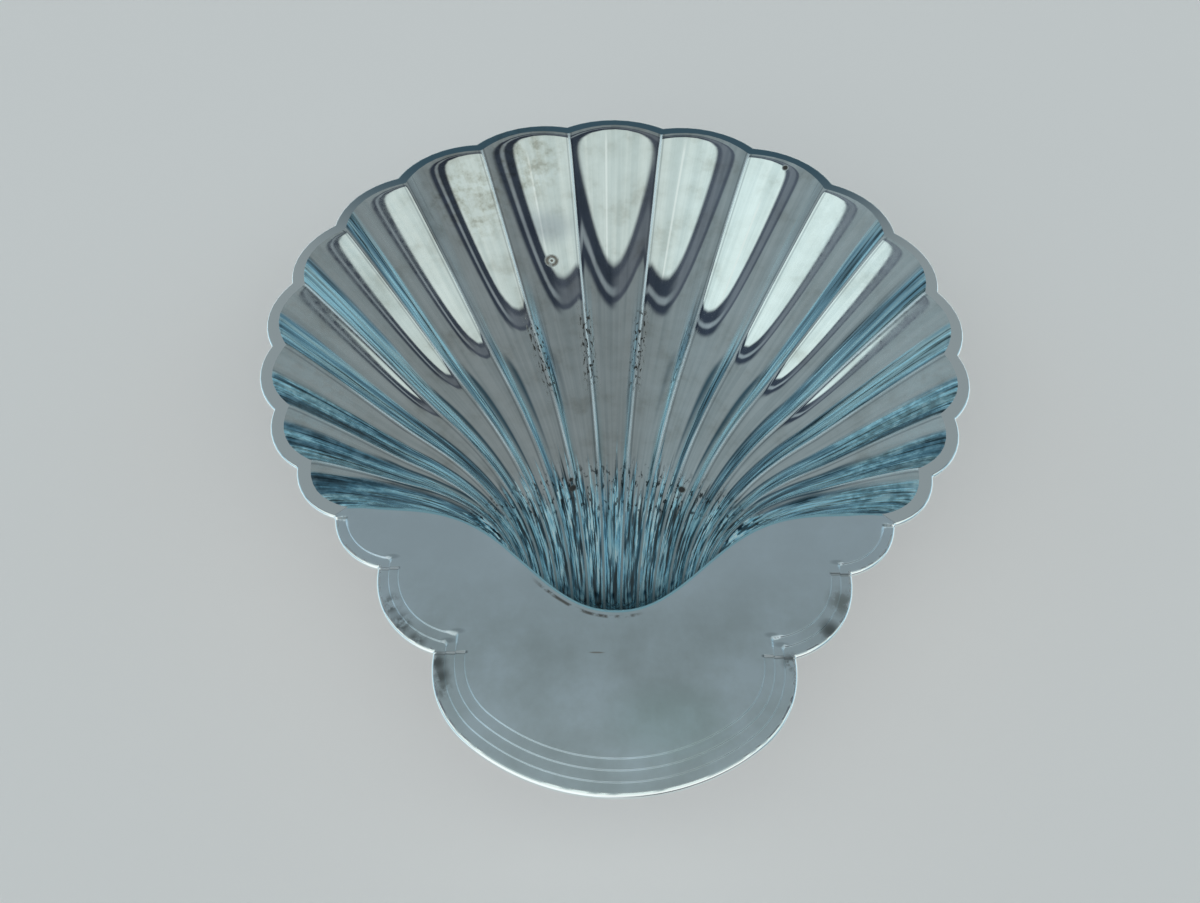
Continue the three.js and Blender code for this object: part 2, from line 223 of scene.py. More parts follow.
# %% The bowl's upper side
def bowl_surface(s, t):
    """Upper side of the bowl as [s, t, xyz], z = 0 on the rim. In plan it lies between two ridges, and
    bulges at the lip and at the rim as their edges do. Its depth is the ridges' depth times three walls
    that rise from 0 to 1, plus the flute's hollow, and the square root rounds the shoulder."""
    k, f = lobe_at(t)
    k = k.astype(int)
    ridges = ridge_courses(s)
    a, b = ridges[:, k], ridges[:, k + 1]
    across = b - a
    width = np.linalg.norm(across, axis=-1)
    run, share = s[:, None], f[None, :]
    parabola = 1 - (2 * share - 1) ** 2
    inner_middle = (inner_notch(k) + inner_notch(k + 1)) / 2
    inner_rise = np.linalg.norm(outer_edge(k + 0.5) - inner_middle, axis=-1) - flange_width
    outward = np.stack([-across[..., 1], across[..., 0]], -1) / width[..., None]
    rim_bulge = outward * (inner_rise * parabola * run**edge_hold)[..., None]
    straight = hinge_point(k) + (hinge_point(k + 1) - hinge_point(k)) * f[:, None]
    lip_bulge = (hinge_point(t) - straight) * ((1 - run) ** edge_hold)[..., None]
    plan = a + across * share[..., None] + lip_bulge + rim_bulge
    from_side = np.minimum(t, flute_count - t)[None, :]
    front_wall = 1 - (1 - np.clip(run / front_wall_share, 0, 1)) ** 3
    back_wall = 1 - back_rise(run)
    side_wall = 1 - np.exp(-from_side / side_wall_flutes)
    flute_run = smoothstep(run, 0, flute_growth) * (1 - run**flute_fading)
    depth = ridge_depth * front_wall * back_wall * side_wall
    depth = depth + flute_roundness * width * hollow(share) * flute_run
    z = -(np.sqrt(depth**2 + shoulder_radius**2) - shoulder_radius)
    return np.concatenate([plan, z[..., None]], -1)


def crowded(count):
    """Shares from 0 to 1 that crowd at both ends: the heights of even points on half a circle."""
    return (1 - np.cos(np.pi * np.arange(count + 1) / count)) / 2


rows_along = 93
columns_per_flute = 12
run_rows = crowded(rows_along)
within_flute = crowded(columns_per_flute)[:-1]
flute_places = np.append((np.arange(flute_count)[:, None] + within_flute).ravel(), flute_count)
bowl_top = bowl_surface(run_rows, flute_places)
print("bowl grid", bowl_top.shape[:2], "deepest", round(bowl_top[..., 2].min(), 2), "mm")

# %% The bowl's underside
sheet_thickness = 1.2
steepest_wall = 0.5
bend_share = 0.015
bend_flutes = 1 / 6


def underside_of(top, s, t):
    """The underside: straight down by the sheet's thickness over the upright share of the normal, and by
    the bare thickness along the edges, where the sheet is flat."""
    normal = np.cross(np.gradient(top, axis=0), np.gradient(top, axis=1))
    normal /= np.linalg.norm(normal, axis=-1, keepdims=True)
    drop = sheet_thickness / np.maximum(np.abs(normal[..., 2]), steepest_wall)
    inside_s = np.clip(np.minimum(s, 1 - s) / bend_share, 0, 1)[:, None]
    inside_t = np.clip(np.minimum(t, flute_count - t) / bend_flutes, 0, 1)[None, :]
    drop = sheet_thickness + (drop - sheet_thickness) * inside_s * inside_t
    return top - drop[..., None] * np.array([0, 0, 1])


bowl_underside = underside_of(bowl_top, run_rows, flute_places)
print("underside down to", round(bowl_underside[..., 2].min(), 2), "mm")

# %% [markdown]
# ## The stepped tab
# The tab has two rounded side lobes on each side and a wide front lobe. Chased steps run along them like
# overlapping scales: each step lies lower towards the edge. Three nested curves say where the steps are,
# and the height at any place is the number of these curves that lie further in, times the height of a step.
# That gives soft corners without cutting the mesh into plates.

# %% The tab's notches and lobes
steps = [
    (0.1286 * shell_radius, 0.1387 * shell_radius, 0.15),
    (0.1582 * shell_radius, 0.2124 * shell_radius, 0.164),
]
front_lobe_length = 0.309 * shell_radius
front_lobe_shoulder = 0.2413 * shell_radius
shoulder_lead = 0.01 * shell_radius
terrace_height = 0.3
outer_terrace_width = 2.1
inner_terrace_width = 1.6
insets = outer_terrace_width + inner_terrace_width * np.arange(3)

tab_notches = [notch(flute_count)]
for inward, forward, roundness in steps:
    tab_notches.append(tab_notches[-1] - np.array([inward, forward]))


def circle_of(a, b, roundness):
    """Centre and radius of the arc from a to b with that rise over its chord."""
    half = 2 * math.atan(2 * roundness)
    along = b - a
    outward = np.array([-along[1], along[0]])
    radius = np.linalg.norm(along) / (2 * math.sin(half))
    return (a + b) / 2 - outward / (2 * math.tan(half)), radius


last_notch = tab_notches[2]
tab_front = last_notch[1] - front_lobe_length
shoulder_centre = last_notch - np.array([math.sqrt(front_lobe_shoulder**2 - shoulder_lead**2), shoulder_lead])
shoulder_drop = shoulder_centre[1] - tab_front
touching = shoulder_centre[0] ** 2 + shoulder_drop**2 - front_lobe_shoulder**2
front_radius = touching / (2 * (shoulder_drop - front_lobe_shoulder))
front_centre = np.array([0, tab_front + front_radius])
front_half_angle = math.atan2(shoulder_centre[0], front_centre[1] - shoulder_centre[1])
lobes = [circle_of(tab_notches[j], tab_notches[j + 1], steps[j][2]) for j in (0, 1)]
lobes.append((shoulder_centre, front_lobe_shoulder))
print("tab notches", [n.round(1).tolist() for n in tab_notches], "front at", round(tab_front, 1))

# %% Step lines along one lobe
facets = 24
front_facets = 40


def round_part(centre, radius, start, end, count=facets):
    """Points on a circle between two angles, both included."""
    angle = np.linspace(start, end, count + 1)
    return centre + radius * np.stack([np.cos(angle), np.sin(angle)], -1)


def line_start(j, i):
    """Where step line i of lobe j starts, level with that lobe's notch."""
    centre, radius = lobes[j]
    y = tab_notches[j][1]
    return np.array([centre[0] + math.sqrt((radius - insets[i]) ** 2 - (y - centre[1]) ** 2), y])


def side_line(j, i):
    """Step line i of side lobe j: along its arc, as far as the next lobe's line lies inwards."""
    centre, radius = lobes[j]
    start = math.asin((tab_notches[j][1] - centre[1]) / (radius - insets[i]))
    end = -math.acos((line_start(j + 1, i)[0] - centre[0]) / (radius - insets[i]))
    return round_part(centre, radius - insets[i], start, end)


def front_line(inset):
    """The front lobe drawn in by inset, from its notch to the middle: a shoulder, then the wide arc."""
    start = math.asin((last_notch[1] - shoulder_centre[1]) / (front_lobe_shoulder - inset))
    meet = front_half_angle - math.pi / 2
    shoulder = round_part(shoulder_centre, front_lobe_shoulder - inset, start, meet)
    wide = round_part(front_centre, front_radius - inset, meet, -math.pi / 2, front_facets)
    return np.concatenate([shoulder, wide[1:]])


print("step lines start beside the first notch at", line_start(0, 0).round(1))

# %% The step curves
far_away = 200.0


def step_curve(first):
    """The curve that starts at the notch of lobe first and takes up a line further in at each next lobe."""
    points = [np.array([[far_away, tab_notches[first][1]]])]
    for j in range(first, 3):
        i = j - first
        points.append(side_line(j, i) if j < 2 else front_line(insets[i]))
        if j < 2:
            points.append(line_start(j + 1, i)[None])
    return np.concatenate(points)


step_curves = [step_curve(first) for first in range(3)]
print("points on the step curves", [len(c) for c in step_curves])

# %% Height of the tab at any place
step_softness = 0.05


def signed_distance(p, path):
    """Distance from the points p to a path, positive on its outer side: the least distance to its straight
    parts, and the side from how often a level ray crosses the path closed round the far corner."""
    start, end = path[:-1], path[1:]
    along = end - start
    share = ((p[:, None] - start) * along).sum(-1) / (along**2).sum(-1)
    near = start + np.clip(share, 0, 1)[..., None] * along
    distance = np.linalg.norm(p[:, None] - near, axis=-1).min(1)
    corners = [[-far_away, path[-1, 1]], [-far_away, far_away], [far_away, far_away]]
    closed = np.concatenate([path, corners])
    a, b = closed, np.roll(closed, -1, 0)
    crosses = (a[:, 1] > p[:, 1:2]) != (b[:, 1] > p[:, 1:2])
    rise = np.where(b[:, 1] == a[:, 1], 1, b[:, 1] - a[:, 1])
    at_x = a[:, 0] + (p[:, 1:2] - a[:, 1]) / rise * (b[:, 0] - a[:, 0])
    inside = (crosses & (p[:, :1] < at_x)).sum(1) % 2 == 1
    return np.where(inside, -distance, distance)


def tab_height(p):
    """Height of the tab's upper side: one step down, softened by a smoothstep, outside each step curve."""
    p = np.stack([np.abs(p[:, 0]), p[:, 1]], -1)
    level = sum(smoothstep(signed_distance(p, c), -step_softness, step_softness) for c in step_curves)
    return -terrace_height * level


print("height at the tab's front edge", round(tab_height(np.array([[0.0, tab_front]]))[0], 2), "mm")

# %% [markdown]
# ## One closed sheet
# Bowl, flange, tab and edge are one piece of metal, so they become one mesh. A belt of columns runs all
# round the bowl, from the rounded outer edge in to the bowl's own border, with rows crowded where the steps
# lie. The edge is a half round carried along the outline. Upper side, edge and underside share their border
# points, so merging those closes the sheet.

# %% Outer edge, all the way round
side_columns = (22, 40)
fan_columns = 36
half_fan = fan_columns // 2
border = np.concatenate([bowl_top[::-1, -1], bowl_top[0, ::-1][1:], bowl_top[1:, 0]])
# The front lobe gets the columns that are left, so that every point of the bowl's border has one.
front_columns = (len(border) - 1) // 2 - sum(side_columns) - half_fan - 2 * (fan_columns - 1)


def front_edge(q):
    """Outer edge of the front lobe at share q of its length from the notch to the middle."""
    start = math.asin((last_notch[1] - shoulder_centre[1]) / front_lobe_shoulder)
    meet = front_half_angle - math.pi / 2
    first = front_lobe_shoulder * (start - meet)
    second = front_radius * (meet + math.pi / 2)
    way = q * (first + second)
    on_first = (way < first)[:, None]
    angle = np.where(way < first, start - way / front_lobe_shoulder, meet - (way - first) / front_radius)
    ray = np.stack([np.cos(angle), np.sin(angle)], -1)
    return np.where(on_first, shoulder_centre + front_lobe_shoulder * ray, front_centre + front_radius * ray)


tab_right = [
    arc_point(tab_notches[j], tab_notches[j + 1], steps[j][2], crowded(side_columns[j])[:-1]) for j in (0, 1)
]
tab_right.append(front_edge(1 - np.cos(np.linspace(0, math.pi / 2, front_columns + 1))))
tab_right = np.concatenate(tab_right)
tab_left = tab_right[-2::-1] * np.array([-1, 1])
loop = np.concatenate([outer_edge(flute_places), tab_right[1:], tab_left[:-1]])
shell_end = len(flute_places) - 1

# %% Fans of columns at the tab's notches
# Order names each column's point of the loop. A notch of the tab repeats, with a growing share of turn.
repeats = np.ones(len(loop), int)
turn_share = [np.full(1, 0.5)] * len(loop)
corners = shell_end + np.array([0, side_columns[0], sum(side_columns)])
for i in [*corners[1:], *(shell_end + len(loop) - corners[1:])]:
    repeats[i] = fan_columns
    turn_share[i] = np.linspace(0, 1, fan_columns)
repeats[shell_end] = half_fan + 1
turn_share[shell_end] = np.linspace(0.5, 1, half_fan + 1)
order = np.concatenate([np.repeat(np.arange(len(loop)), repeats), np.zeros(half_fan, int)])
turn_share = np.concatenate([*turn_share, np.linspace(0, 0.5, half_fan + 1)[:-1]])[:, None]
print(len(order), "columns for", len(loop), "points of the outline")


def side_normals(points):
    """Inward normals of a clockwise loop's sides, before and after each of its points."""
    side = np.roll(points, -1, 0) - points
    side /= np.linalg.norm(side, axis=1, keepdims=True)
    after = np.stack([side[:, 1], -side[:, 0]], -1)
    return np.roll(after, 1, 0), after


before, after = side_normals(loop)
between = before[order] * (1 - turn_share) + after[order] * turn_share
mitre = between / (between**2).sum(1, keepdims=True)
outline = loop[order]
inner_border = np.concatenate([bowl_top[-1], border[1:-1]])[:, :2]
on_tab = np.arange(len(outline)) >= shell_end
on_tab[0] = True
print("columns on the tab", on_tab.sum(), "of", len(outline), "and border points", len(inner_border))

# %% Rows of the belt
# Rows stand close together round every step line, and evenly between them.
edge_radius = 0.55
near_step = np.array([-0.15, -0.09, -0.05, -0.025, 0, 0.025, 0.05, 0.09, 0.15])
plain_width = 6.0
plain_spacing = 0.25
least_row_gap = 0.08
step_rows = (insets[:, None] - edge_radius + near_step).ravel()
plain_rows = np.arange(0, plain_width, plain_spacing)
plain_rows = plain_rows[np.abs(plain_rows[:, None] - step_rows).min(1) > least_row_gap]
belt_offsets = np.sort(np.concatenate([plain_rows, step_rows]))
belt_reach = belt_offsets[-1]
print(len(belt_offsets), "rows of points up to", round(belt_reach, 1), "mm inside the rounded edge")

# %% Belt between the edge and the bowl
# A long column on the tab leaves the edge at a right angle and bends at its knee. Any other is straight.
edge_in = outline + edge_radius * mitre
least_slant = 0.5
largest_share = 0.8
short_column, long_column = 7, 11
even_rows = 10
crowded_at_lip = [0.94, 0.96, 0.975, 0.985, 0.994, 1]
column = inner_border - edge_in
column_length = np.linalg.norm(column, axis=1)
slant = (column * mitre).sum(1) / (column_length * np.linalg.norm(mitre, axis=1))
first_share = np.minimum(belt_reach / (np.clip(slant, least_slant, 1) * column_length), largest_share)
rest_shares = np.append(np.linspace(0, 1, even_rows + 1)[1:-1], crowded_at_lip)
along_normal = (smoothstep(column_length, short_column, long_column) * on_tab)[:, None]
inward = between / np.linalg.norm(between, axis=1, keepdims=True)
knee = edge_in + column * first_share[:, None] * (1 - along_normal) + belt_reach * inward * along_normal
belt_plan = np.concatenate([
    edge_in + (knee - edge_in) * (belt_offsets / belt_reach)[:, None, None],
    knee + (inner_border - knee) * rest_shares[:, None, None],
])
to_lip_belt = np.linalg.norm(inner_border - belt_plan, axis=-1)
belt_height = np.zeros(belt_plan.shape[:2])
belt_height[:, on_tab] = tab_height(belt_plan[:, on_tab].reshape(-1, 2)).reshape(len(belt_plan), -1)
belt_height[-1] = 0
belt_top = np.concatenate([belt_plan, belt_height[..., None]], -1)
print("belt grid", belt_top.shape[:2])

# %% Rounded edge
round_steps = 5
quarter = np.linspace(0, math.pi / 2, round_steps)
upper_inset = edge_radius * (1 - np.sin(quarter))
upper_drop = edge_radius * (1 - np.cos(quarter))
edge_inset = np.concatenate([upper_inset, upper_inset[::-1]])
edge_drop = np.concatenate([upper_drop, sheet_thickness - upper_drop[::-1]])
edge_plan = outline[None] + edge_inset[:, None, None] * mitre[None]
edge_z = belt_height[0][None, :] - edge_drop[:, None]
edge_ring = np.concatenate([edge_plan, edge_z[..., None]], -1)
print("edge grid", edge_ring.shape[:2])

# %% Faces of a grid
def grid_quads(rows, columns, first, closed=False):
    """Corner numbers of the quads of a grid whose points are numbered row by row from first."""
    i, j = np.meshgrid(np.arange(rows - 1), np.arange(columns if closed else columns - 1), indexing="ij")
    k = (j + 1) % columns
    quads = np.stack([i * columns + j, i * columns + k, (i + 1) * columns + k, (i + 1) * columns + j], -1)
    return quads.reshape(-1, 4) + first

# %% One mesh from several grids
def mesh_of(name, grids, merge=1e-6):
    """One object from grids of points in millimetres, each (points, closed, {attribute: values}). Points
    that meet are merged, and the faces are turned outwards."""
    points, quads, values, count = [], [], {}, 0
    for grid, closed, extra in grids:
        rows, columns = grid.shape[:2]
        quads.append(grid_quads(rows, columns, count, closed))
        points.append(grid.reshape(-1, 3))
        for key, value in extra.items():
            values.setdefault(key, []).append(np.broadcast_to(value, (rows, columns)).ravel())
        count += rows * columns
    points = (np.concatenate(points) * MM).astype(np.float32)
    quads = np.concatenate(quads)
    mesh = bpy.data.meshes.new(name)
    mesh.vertices.add(len(points))
    mesh.vertices.foreach_set("co", points.ravel())
    mesh.loops.add(quads.size)
    mesh.loops.foreach_set("vertex_index", quads.ravel().astype(np.int32))
    mesh.polygons.add(len(quads))
    mesh.polygons.foreach_set("loop_start", np.arange(0, quads.size, 4, dtype=np.int32))
    mesh.update(calc_edges=True)
    for key, value in values.items():
        layer = mesh.attributes.new(key, "FLOAT", "POINT")
        layer.data.foreach_set("value", np.concatenate(value).astype(np.float32))
    work = bmesh.new()
    work.from_mesh(mesh)
    bmesh.ops.remove_doubles(work, verts=work.verts, dist=merge)
    bmesh.ops.dissolve_degenerate(work, edges=work.edges, dist=merge / 10)
    bmesh.ops.recalc_face_normals(work, faces=work.faces)
    if work.calc_volume(signed=True) < 0:
        bmesh.ops.reverse_faces(work, faces=work.faces)
    open_edges = sum(1 for e in work.edges if len(e.link_faces) != 2)
    work.to_mesh(mesh)
    work.free()
    mesh.shade_smooth()
    piece = bpy.data.objects.new(name, mesh)
    bpy.context.scene.collection.objects.link(piece)
    print(name, len(mesh.vertices), "points,", len(mesh.polygons), "faces,", open_edges, "open edges")
    return piece

# %% Numbers stored on the bowl's points
flute_bowl = np.broadcast_to(flute_places[None, :], bowl_top.shape[:2])
run_bowl = np.broadcast_to(run_rows[:, None], bowl_top.shape[:2])
courses = ridge_courses(run_rows)
flute_number = np.clip(flute_places.astype(int), 0, flute_count - 1)
flute_width = np.linalg.norm(courses[:, flute_number + 1] - courses[:, flute_number], axis=-1)
off_ridge = flute_width * np.minimum(flute_places % 1, -flute_places % 1)
edges_of_lip = (bowl_top[:1], bowl_top[:, :1], bowl_top[:, -1:])
to_lip = np.minimum.reduce([np.linalg.norm(bowl_top - edge, axis=-1) for edge in edges_of_lip])
print("flutes are", round(flute_width.min(), 1), "to", round(flute_width.max(), 1), "mm wide")


def belt_values(plain, grid):
    """A plain value all over the belt, but the bowl's own values on its last row, where they meet."""
    border = np.concatenate([grid[::-1, -1], grid[0, ::-1][1:], grid[1:, 0]])
    values = np.broadcast_to(plain, belt_plan.shape[:2]).astype(float).copy()
    values[-1] = np.concatenate([grid[-1], border[1:-1]])
    return values


far_off = 9.0
in_bowl = {"flute": flute_bowl, "run": run_bowl, "off_ridge": off_ridge, "bowl": np.ones_like(run_bowl),
           "tab": np.zeros_like(run_bowl), "to_lip": to_lip, "step": np.zeros_like(run_bowl), "under": 0.0}
step_share = (-belt_height / terrace_height) % 1
plain = {"flute": flute_count / 2, "run": 0.5, "off_ridge": far_off, "bowl": 0.0, "tab": on_tab,
         "to_lip": np.where(on_tab, to_lip_belt, far_off), "step": 4 * step_share * (1 - step_share)}
on_belt = {key: belt_values(value, in_bowl[key]) for key, value in plain.items()} | {"under": 0.0}
on_edge = {**plain, "tab": 0.0, "to_lip": far_off, "step": 0.0, "under": 0.0}
below_bowl = {**in_bowl, "under": 1.0}
print("numbers on each point:", ", ".join(in_bowl))

# %% The dish as one mesh
to_row_frame = np.array([0, shift_y, rim_z])
thickness = np.array([0, 0, sheet_thickness])
# The hidden underside has every second row of the belt, and the last.
below_rows = np.unique(np.append(np.arange(0, len(belt_top), 2), len(belt_top) - 1))
below_belt = {key: np.broadcast_to(value, belt_plan.shape[:2])[below_rows] for key, value in on_belt.items()}
below_belt["under"] = 1.0
dish = mesh_of("shell_dish_sheet", [
    (bowl_top + to_row_frame, False, in_bowl),
    (belt_top + to_row_frame, True, on_belt),
    (edge_ring + to_row_frame, True, on_edge),
    (belt_top[below_rows] - thickness + to_row_frame, True, below_belt),
    (bowl_underside + to_row_frame, False, below_bowl),
])
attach(dish, "root")
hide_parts("shell_dish")

# %% [markdown]
# ## Feet and solder
# Three turned balls on short necks carry the dish. Each is soldered to a small pad, and each pad to the
# flutes above it. Balls could be plain spheres, but a turned profile has the worn flat, the neck's hollow
# and the small collar of a real foot. The solder is drawn up by the joint, so its outside is hollow: a ring
# of that section closes the gap under the pad, and a second one follows the flutes over it.

# %% Profile of a ball foot
ball_radius = 4.2
neck_radius = 1.7
worn_flat_radius = 1.6
flat_rounding = 0.25
flat_border = 0.1
collar_height = 0.12
lid_inset = 0.02
ball_rows = 40
neck_rows = 12
foot_columns = 96
round_angles = np.linspace(0, 2 * math.pi, foot_columns, endpoint=False)
round_rays = np.stack([np.cos(round_angles), np.sin(round_angles)], -1)


def revolved(profile, centre):
    """Grid of a profile of (radius, height) turned round the upright line through centre."""
    radius, height = profile[:, 0, None, None], profile[:, 1, None, None]
    plan = centre[:2] + radius * round_rays
    return np.concatenate([plan, centre[2] + height + 0 * plan[..., :1]], -1)


def foot_profile(top):
    """Half section of a foot up to its top: a worn flat with a rounded border, the ball's arc, and a neck
    with a hollow, whose radius follows a cosine between the ball and a collar."""
    ball_height = math.sqrt(ball_radius**2 - worn_flat_radius**2)
    start = -math.asin(ball_height / ball_radius) + flat_rounding / ball_radius
    neck_height = ball_height + math.sqrt(ball_radius**2 - (neck_radius + collar_height) ** 2)
    end = math.asin((neck_height - ball_height) / ball_radius)
    angle = np.linspace(start, end, ball_rows)
    ball = np.stack([ball_radius * np.cos(angle), ball_height + ball_radius * np.sin(angle)], -1)
    q = np.linspace(0, 1, neck_rows)[1:]
    waist = neck_radius + collar_height * np.cos(2 * np.pi * q)
    neck = np.stack([waist, neck_height + (top - neck_height) * q], -1)
    flat = np.stack([np.array([0, 0.5, 1]) * (worn_flat_radius - flat_border), np.zeros(3)], -1)
    lid = np.array([[neck_radius - lid_inset, top], [0, top]])
    return np.concatenate([flat, ball, neck, lid])

# %% Three feet on the floor
feet = []
for place_name in ("front_left", "front_right", "back"):
    low, high = (np.array(corner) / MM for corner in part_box(f"ball_foot_{place_name}"))
    middle_point = np.array([(low[0] + high[0]) / 2, (low[1] + high[1]) / 2, low[2]])
    foot_grid = revolved(foot_profile(high[2] - low[2]), middle_point)
    foot = mesh_of(f"turned_foot_{place_name}", [(foot_grid, True, {})])
    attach(foot, "root")
    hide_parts(f"ball_foot_{place_name}")
    feet.append((foot, middle_point, place_name))

# %% Section of the solder
solder_back = 0.3
back_rise_of_solder = 0.05
ray_start = 2 * MM
section_rows = 9
tree_of_sheet = BVHTree.FromObject(dish, bpy.context.evaluated_depsgraph_get())


def underside_height(points):
    """Height of the sheet's underside over points in plan, in millimetres, by rays from below."""
    up = Vector((0, 0, 1))
    hits = [tree_of_sheet.ray_cast(Vector((x * MM, y * MM, ray_start)), up)[0].z for x, y in points]
    return np.array(hits) / MM


def solder_ring(centre, inner, outer, lower, upper):
    """Closed ring of solder. Its section has an upright side within the inner radius, a level upper side,
    and a hollow outside, a quarter circle squeezed to fit. Lower and upper may vary round it."""
    lower, upper = (np.broadcast_to(h, round_angles.shape) for h in (lower, upper))
    turn = np.linspace(0, math.pi / 2, section_rows)[:, None]
    radius = outer - (outer - inner) * np.sin(turn[:, 0])
    radius = np.append(radius, [inner - solder_back] * 2)[:, None, None]
    height = upper - (upper - lower) * (1 - np.cos(turn))
    height = np.concatenate([height, lower[None] + back_rise_of_solder, upper[None]])
    grid = np.concatenate([centre[:2] + radius * round_rays, height[..., None]], -1)
    return np.concatenate([grid, grid[:1]])

# %% Solder at each neck and each pad
pad_radius = 4.6
solder_lap = 0.02
neck_clearance = 0.05
neck_solder_width = 1.1
neck_solder_height = 0.75
pad_solder_width = 0.9
pad_solder_height = 1.0
solder_pieces = []
for foot, middle_point, place_name in feet:
    pad_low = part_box(f"foot_pad_{place_name}")[0][2] / MM
    neck_joint = solder_ring(middle_point, neck_radius + neck_clearance, neck_radius + neck_solder_width,
                             pad_low - neck_solder_height, pad_low - solder_lap)
    pad_outer = pad_radius + pad_solder_width
    sheet = underside_height(middle_point[:2] + pad_outer * round_rays)
    smooth = (np.roll(sheet, 1) + 2 * sheet + np.roll(sheet, -1)) / 4
    pad_joint = solder_ring(middle_point, pad_radius + solder_lap, pad_outer,
                            np.minimum(smooth, sheet) - pad_solder_height, sheet - solder_lap)
    piece = mesh_of(f"solder_{place_name}", [(neck_joint, True, {}), (pad_joint, True, {})])
    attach(piece, "root")
    solder_pieces.append(piece)

# %% [markdown]
# ## Camera and floor
# The dish stands on a plain pale floor. A camera could be placed by eye, but only one pitch makes all of
# the shell's notches fall on one circle, so pitch, roll and distance were worked out from them. It stands
# close over the tab and looks down into the bowl.

# %% Camera
focal_pixels = 880.0
image_width = 1200.0
camera_pitch = math.radians(52.851)
camera_roll = math.radians(0.776)
camera_x, camera_y, camera_over_rim = -2.71, -131.27, 127.57
camera_place = Vector((camera_x, camera_y + shift_y, camera_over_rim + rim_z)) * MM
camera_data = bpy.data.cameras.new("camera")
camera_data.sensor_width = 36.0
camera_data.lens = focal_pixels / image_width * camera_data.sensor_width
camera_data.clip_start = 0.005
camera = bpy.data.objects.new("camera", camera_data)
turn_down = Matrix.Rotation(math.pi / 2 - camera_pitch, 4, "X")
camera.matrix_world = Matrix.Translation(camera_place) @ turn_down @ Matrix.Rotation(camera_roll, 4, "Z")
bpy.context.scene.collection.objects.link(camera)
bpy.context.scene.camera = camera
print("lens", round(camera_data.lens, 1), "mm, camera at", [round(v / MM) for v in camera_place], "mm")

# %% Floor
floor_reach = 2.0
floor_colour = (0.94, 0.9, 0.89, 1)
floor_roughness = 0.9
floor_corners = [(x * floor_reach, y * floor_reach, 0) for x, y in [(-1, -1), (1, -1), (1, 1), (-1, 1)]]
floor_mesh = bpy.data.meshes.new("floor")
floor_mesh.from_pydata(floor_corners, [], [(0, 1, 2, 3)])
floor = bpy.data.objects.new("floor", floor_mesh)
bpy.context.scene.collection.objects.link(floor)
floor_paint = bpy.data.materials.new("floor_paint")
floor_paint.use_nodes = True
floor_shader = floor_paint.node_tree.nodes["Principled BSDF"]
floor_shader.inputs["Base Color"].default_value = floor_colour
floor_shader.inputs["Roughness"].default_value = floor_roughness
floor_mesh.materials.append(floor_paint)
print("floor", 2 * floor_reach, "m wide")

# %% [markdown]
# ## Nodes by name
# Sky and silver are both built from shader nodes. They could be set up by hand in the node editor, but a
# few small functions that each place one node and return its result make a long material read like a sum.

# %% Helpers for nodes
def add_node(tree, kind, settings=None, **inputs):
    """A new node with its settings and inputs. An input given as a socket is linked, any other is a value.
    Names are input names, or input_ and a number where names repeat."""
    node = tree.nodes.new(kind)
    for key, value in (settings or {}).items():
        setattr(node, key, value)
    for key, value in inputs.items():
        number = key.removeprefix("input_")
        socket = node.inputs[int(number)] if number.isdigit() else node.inputs[key.replace("_", " ")]
        if isinstance(value, bpy.types.NodeSocket):
            tree.links.new(value, socket)
        else:
            socket.default_value = value
    return node


def math_node(tree, operation, *values):
    """The result of a Math node."""
    given = {f"input_{i}": value for i, value in enumerate(values)}
    return add_node(tree, "ShaderNodeMath", {"operation": operation}, **given).outputs[0]


def times(tree, first, *others):
    """Product of masks or numbers."""
    for other in others:
        first = math_node(tree, "MULTIPLY", first, other)
    return first


def soft_step(tree, value, low, high, first=0.0, last=1.0):
    """From first to last as value goes from low to high, with soft ends."""
    return add_node(tree, "ShaderNodeMapRange", {"interpolation_type": "SMOOTHSTEP"}, input_0=value,
                    input_1=low, input_2=high, input_3=first, input_4=last).outputs[0]

# %% Helpers for colours
def ramp_node(tree, value, stops):
    """The colour of a ramp at value. Each stop is (place, (red, green, blue))."""
    node = add_node(tree, "ShaderNodeValToRGB", input_0=value)
    ramp = node.color_ramp
    while len(ramp.elements) < len(stops):
        ramp.elements.new(1.0)
    for element, (place, colour) in zip(ramp.elements, stops):
        element.position = place
        element.color = (*colour, 1)
    return node.outputs["Color"]


def mix_node(tree, share, first, second, blend_type="MIX"):
    """Two colours in a Mix node. A colour written as three numbers gets its alpha here."""
    first, second = ((*colour, 1) if isinstance(colour, tuple) else colour for colour in (first, second))
    settings = {"data_type": "RGBA", "blend_type": blend_type}
    return add_node(tree, "ShaderNodeMix", settings, input_0=share, input_6=first, input_7=second).outputs[2]


def blend_node(tree, share, first, second):
    """Colour first at share 0 and second at share 1."""
    return mix_node(tree, share, first, second)


def multiply(tree, share, first, second):
    """Colour first, multiplied by colour second as far as share says."""
    return mix_node(tree, share, first, second, "MULTIPLY")

# %% [markdown]
# ## The sky that the silver mirrors
# Polished metal shows little but what it reflects, so the room round it makes most of its look. Lamps could
# stand in for the room, but areas painted on the sky stay where they are for every view, and they light the
# dish softly without a lamp. Each direction is turned into a place on a flat ceiling: how far behind the
# dish it meets that ceiling, over the ceiling's height. The flutes bend the level bands there into
# crescents.

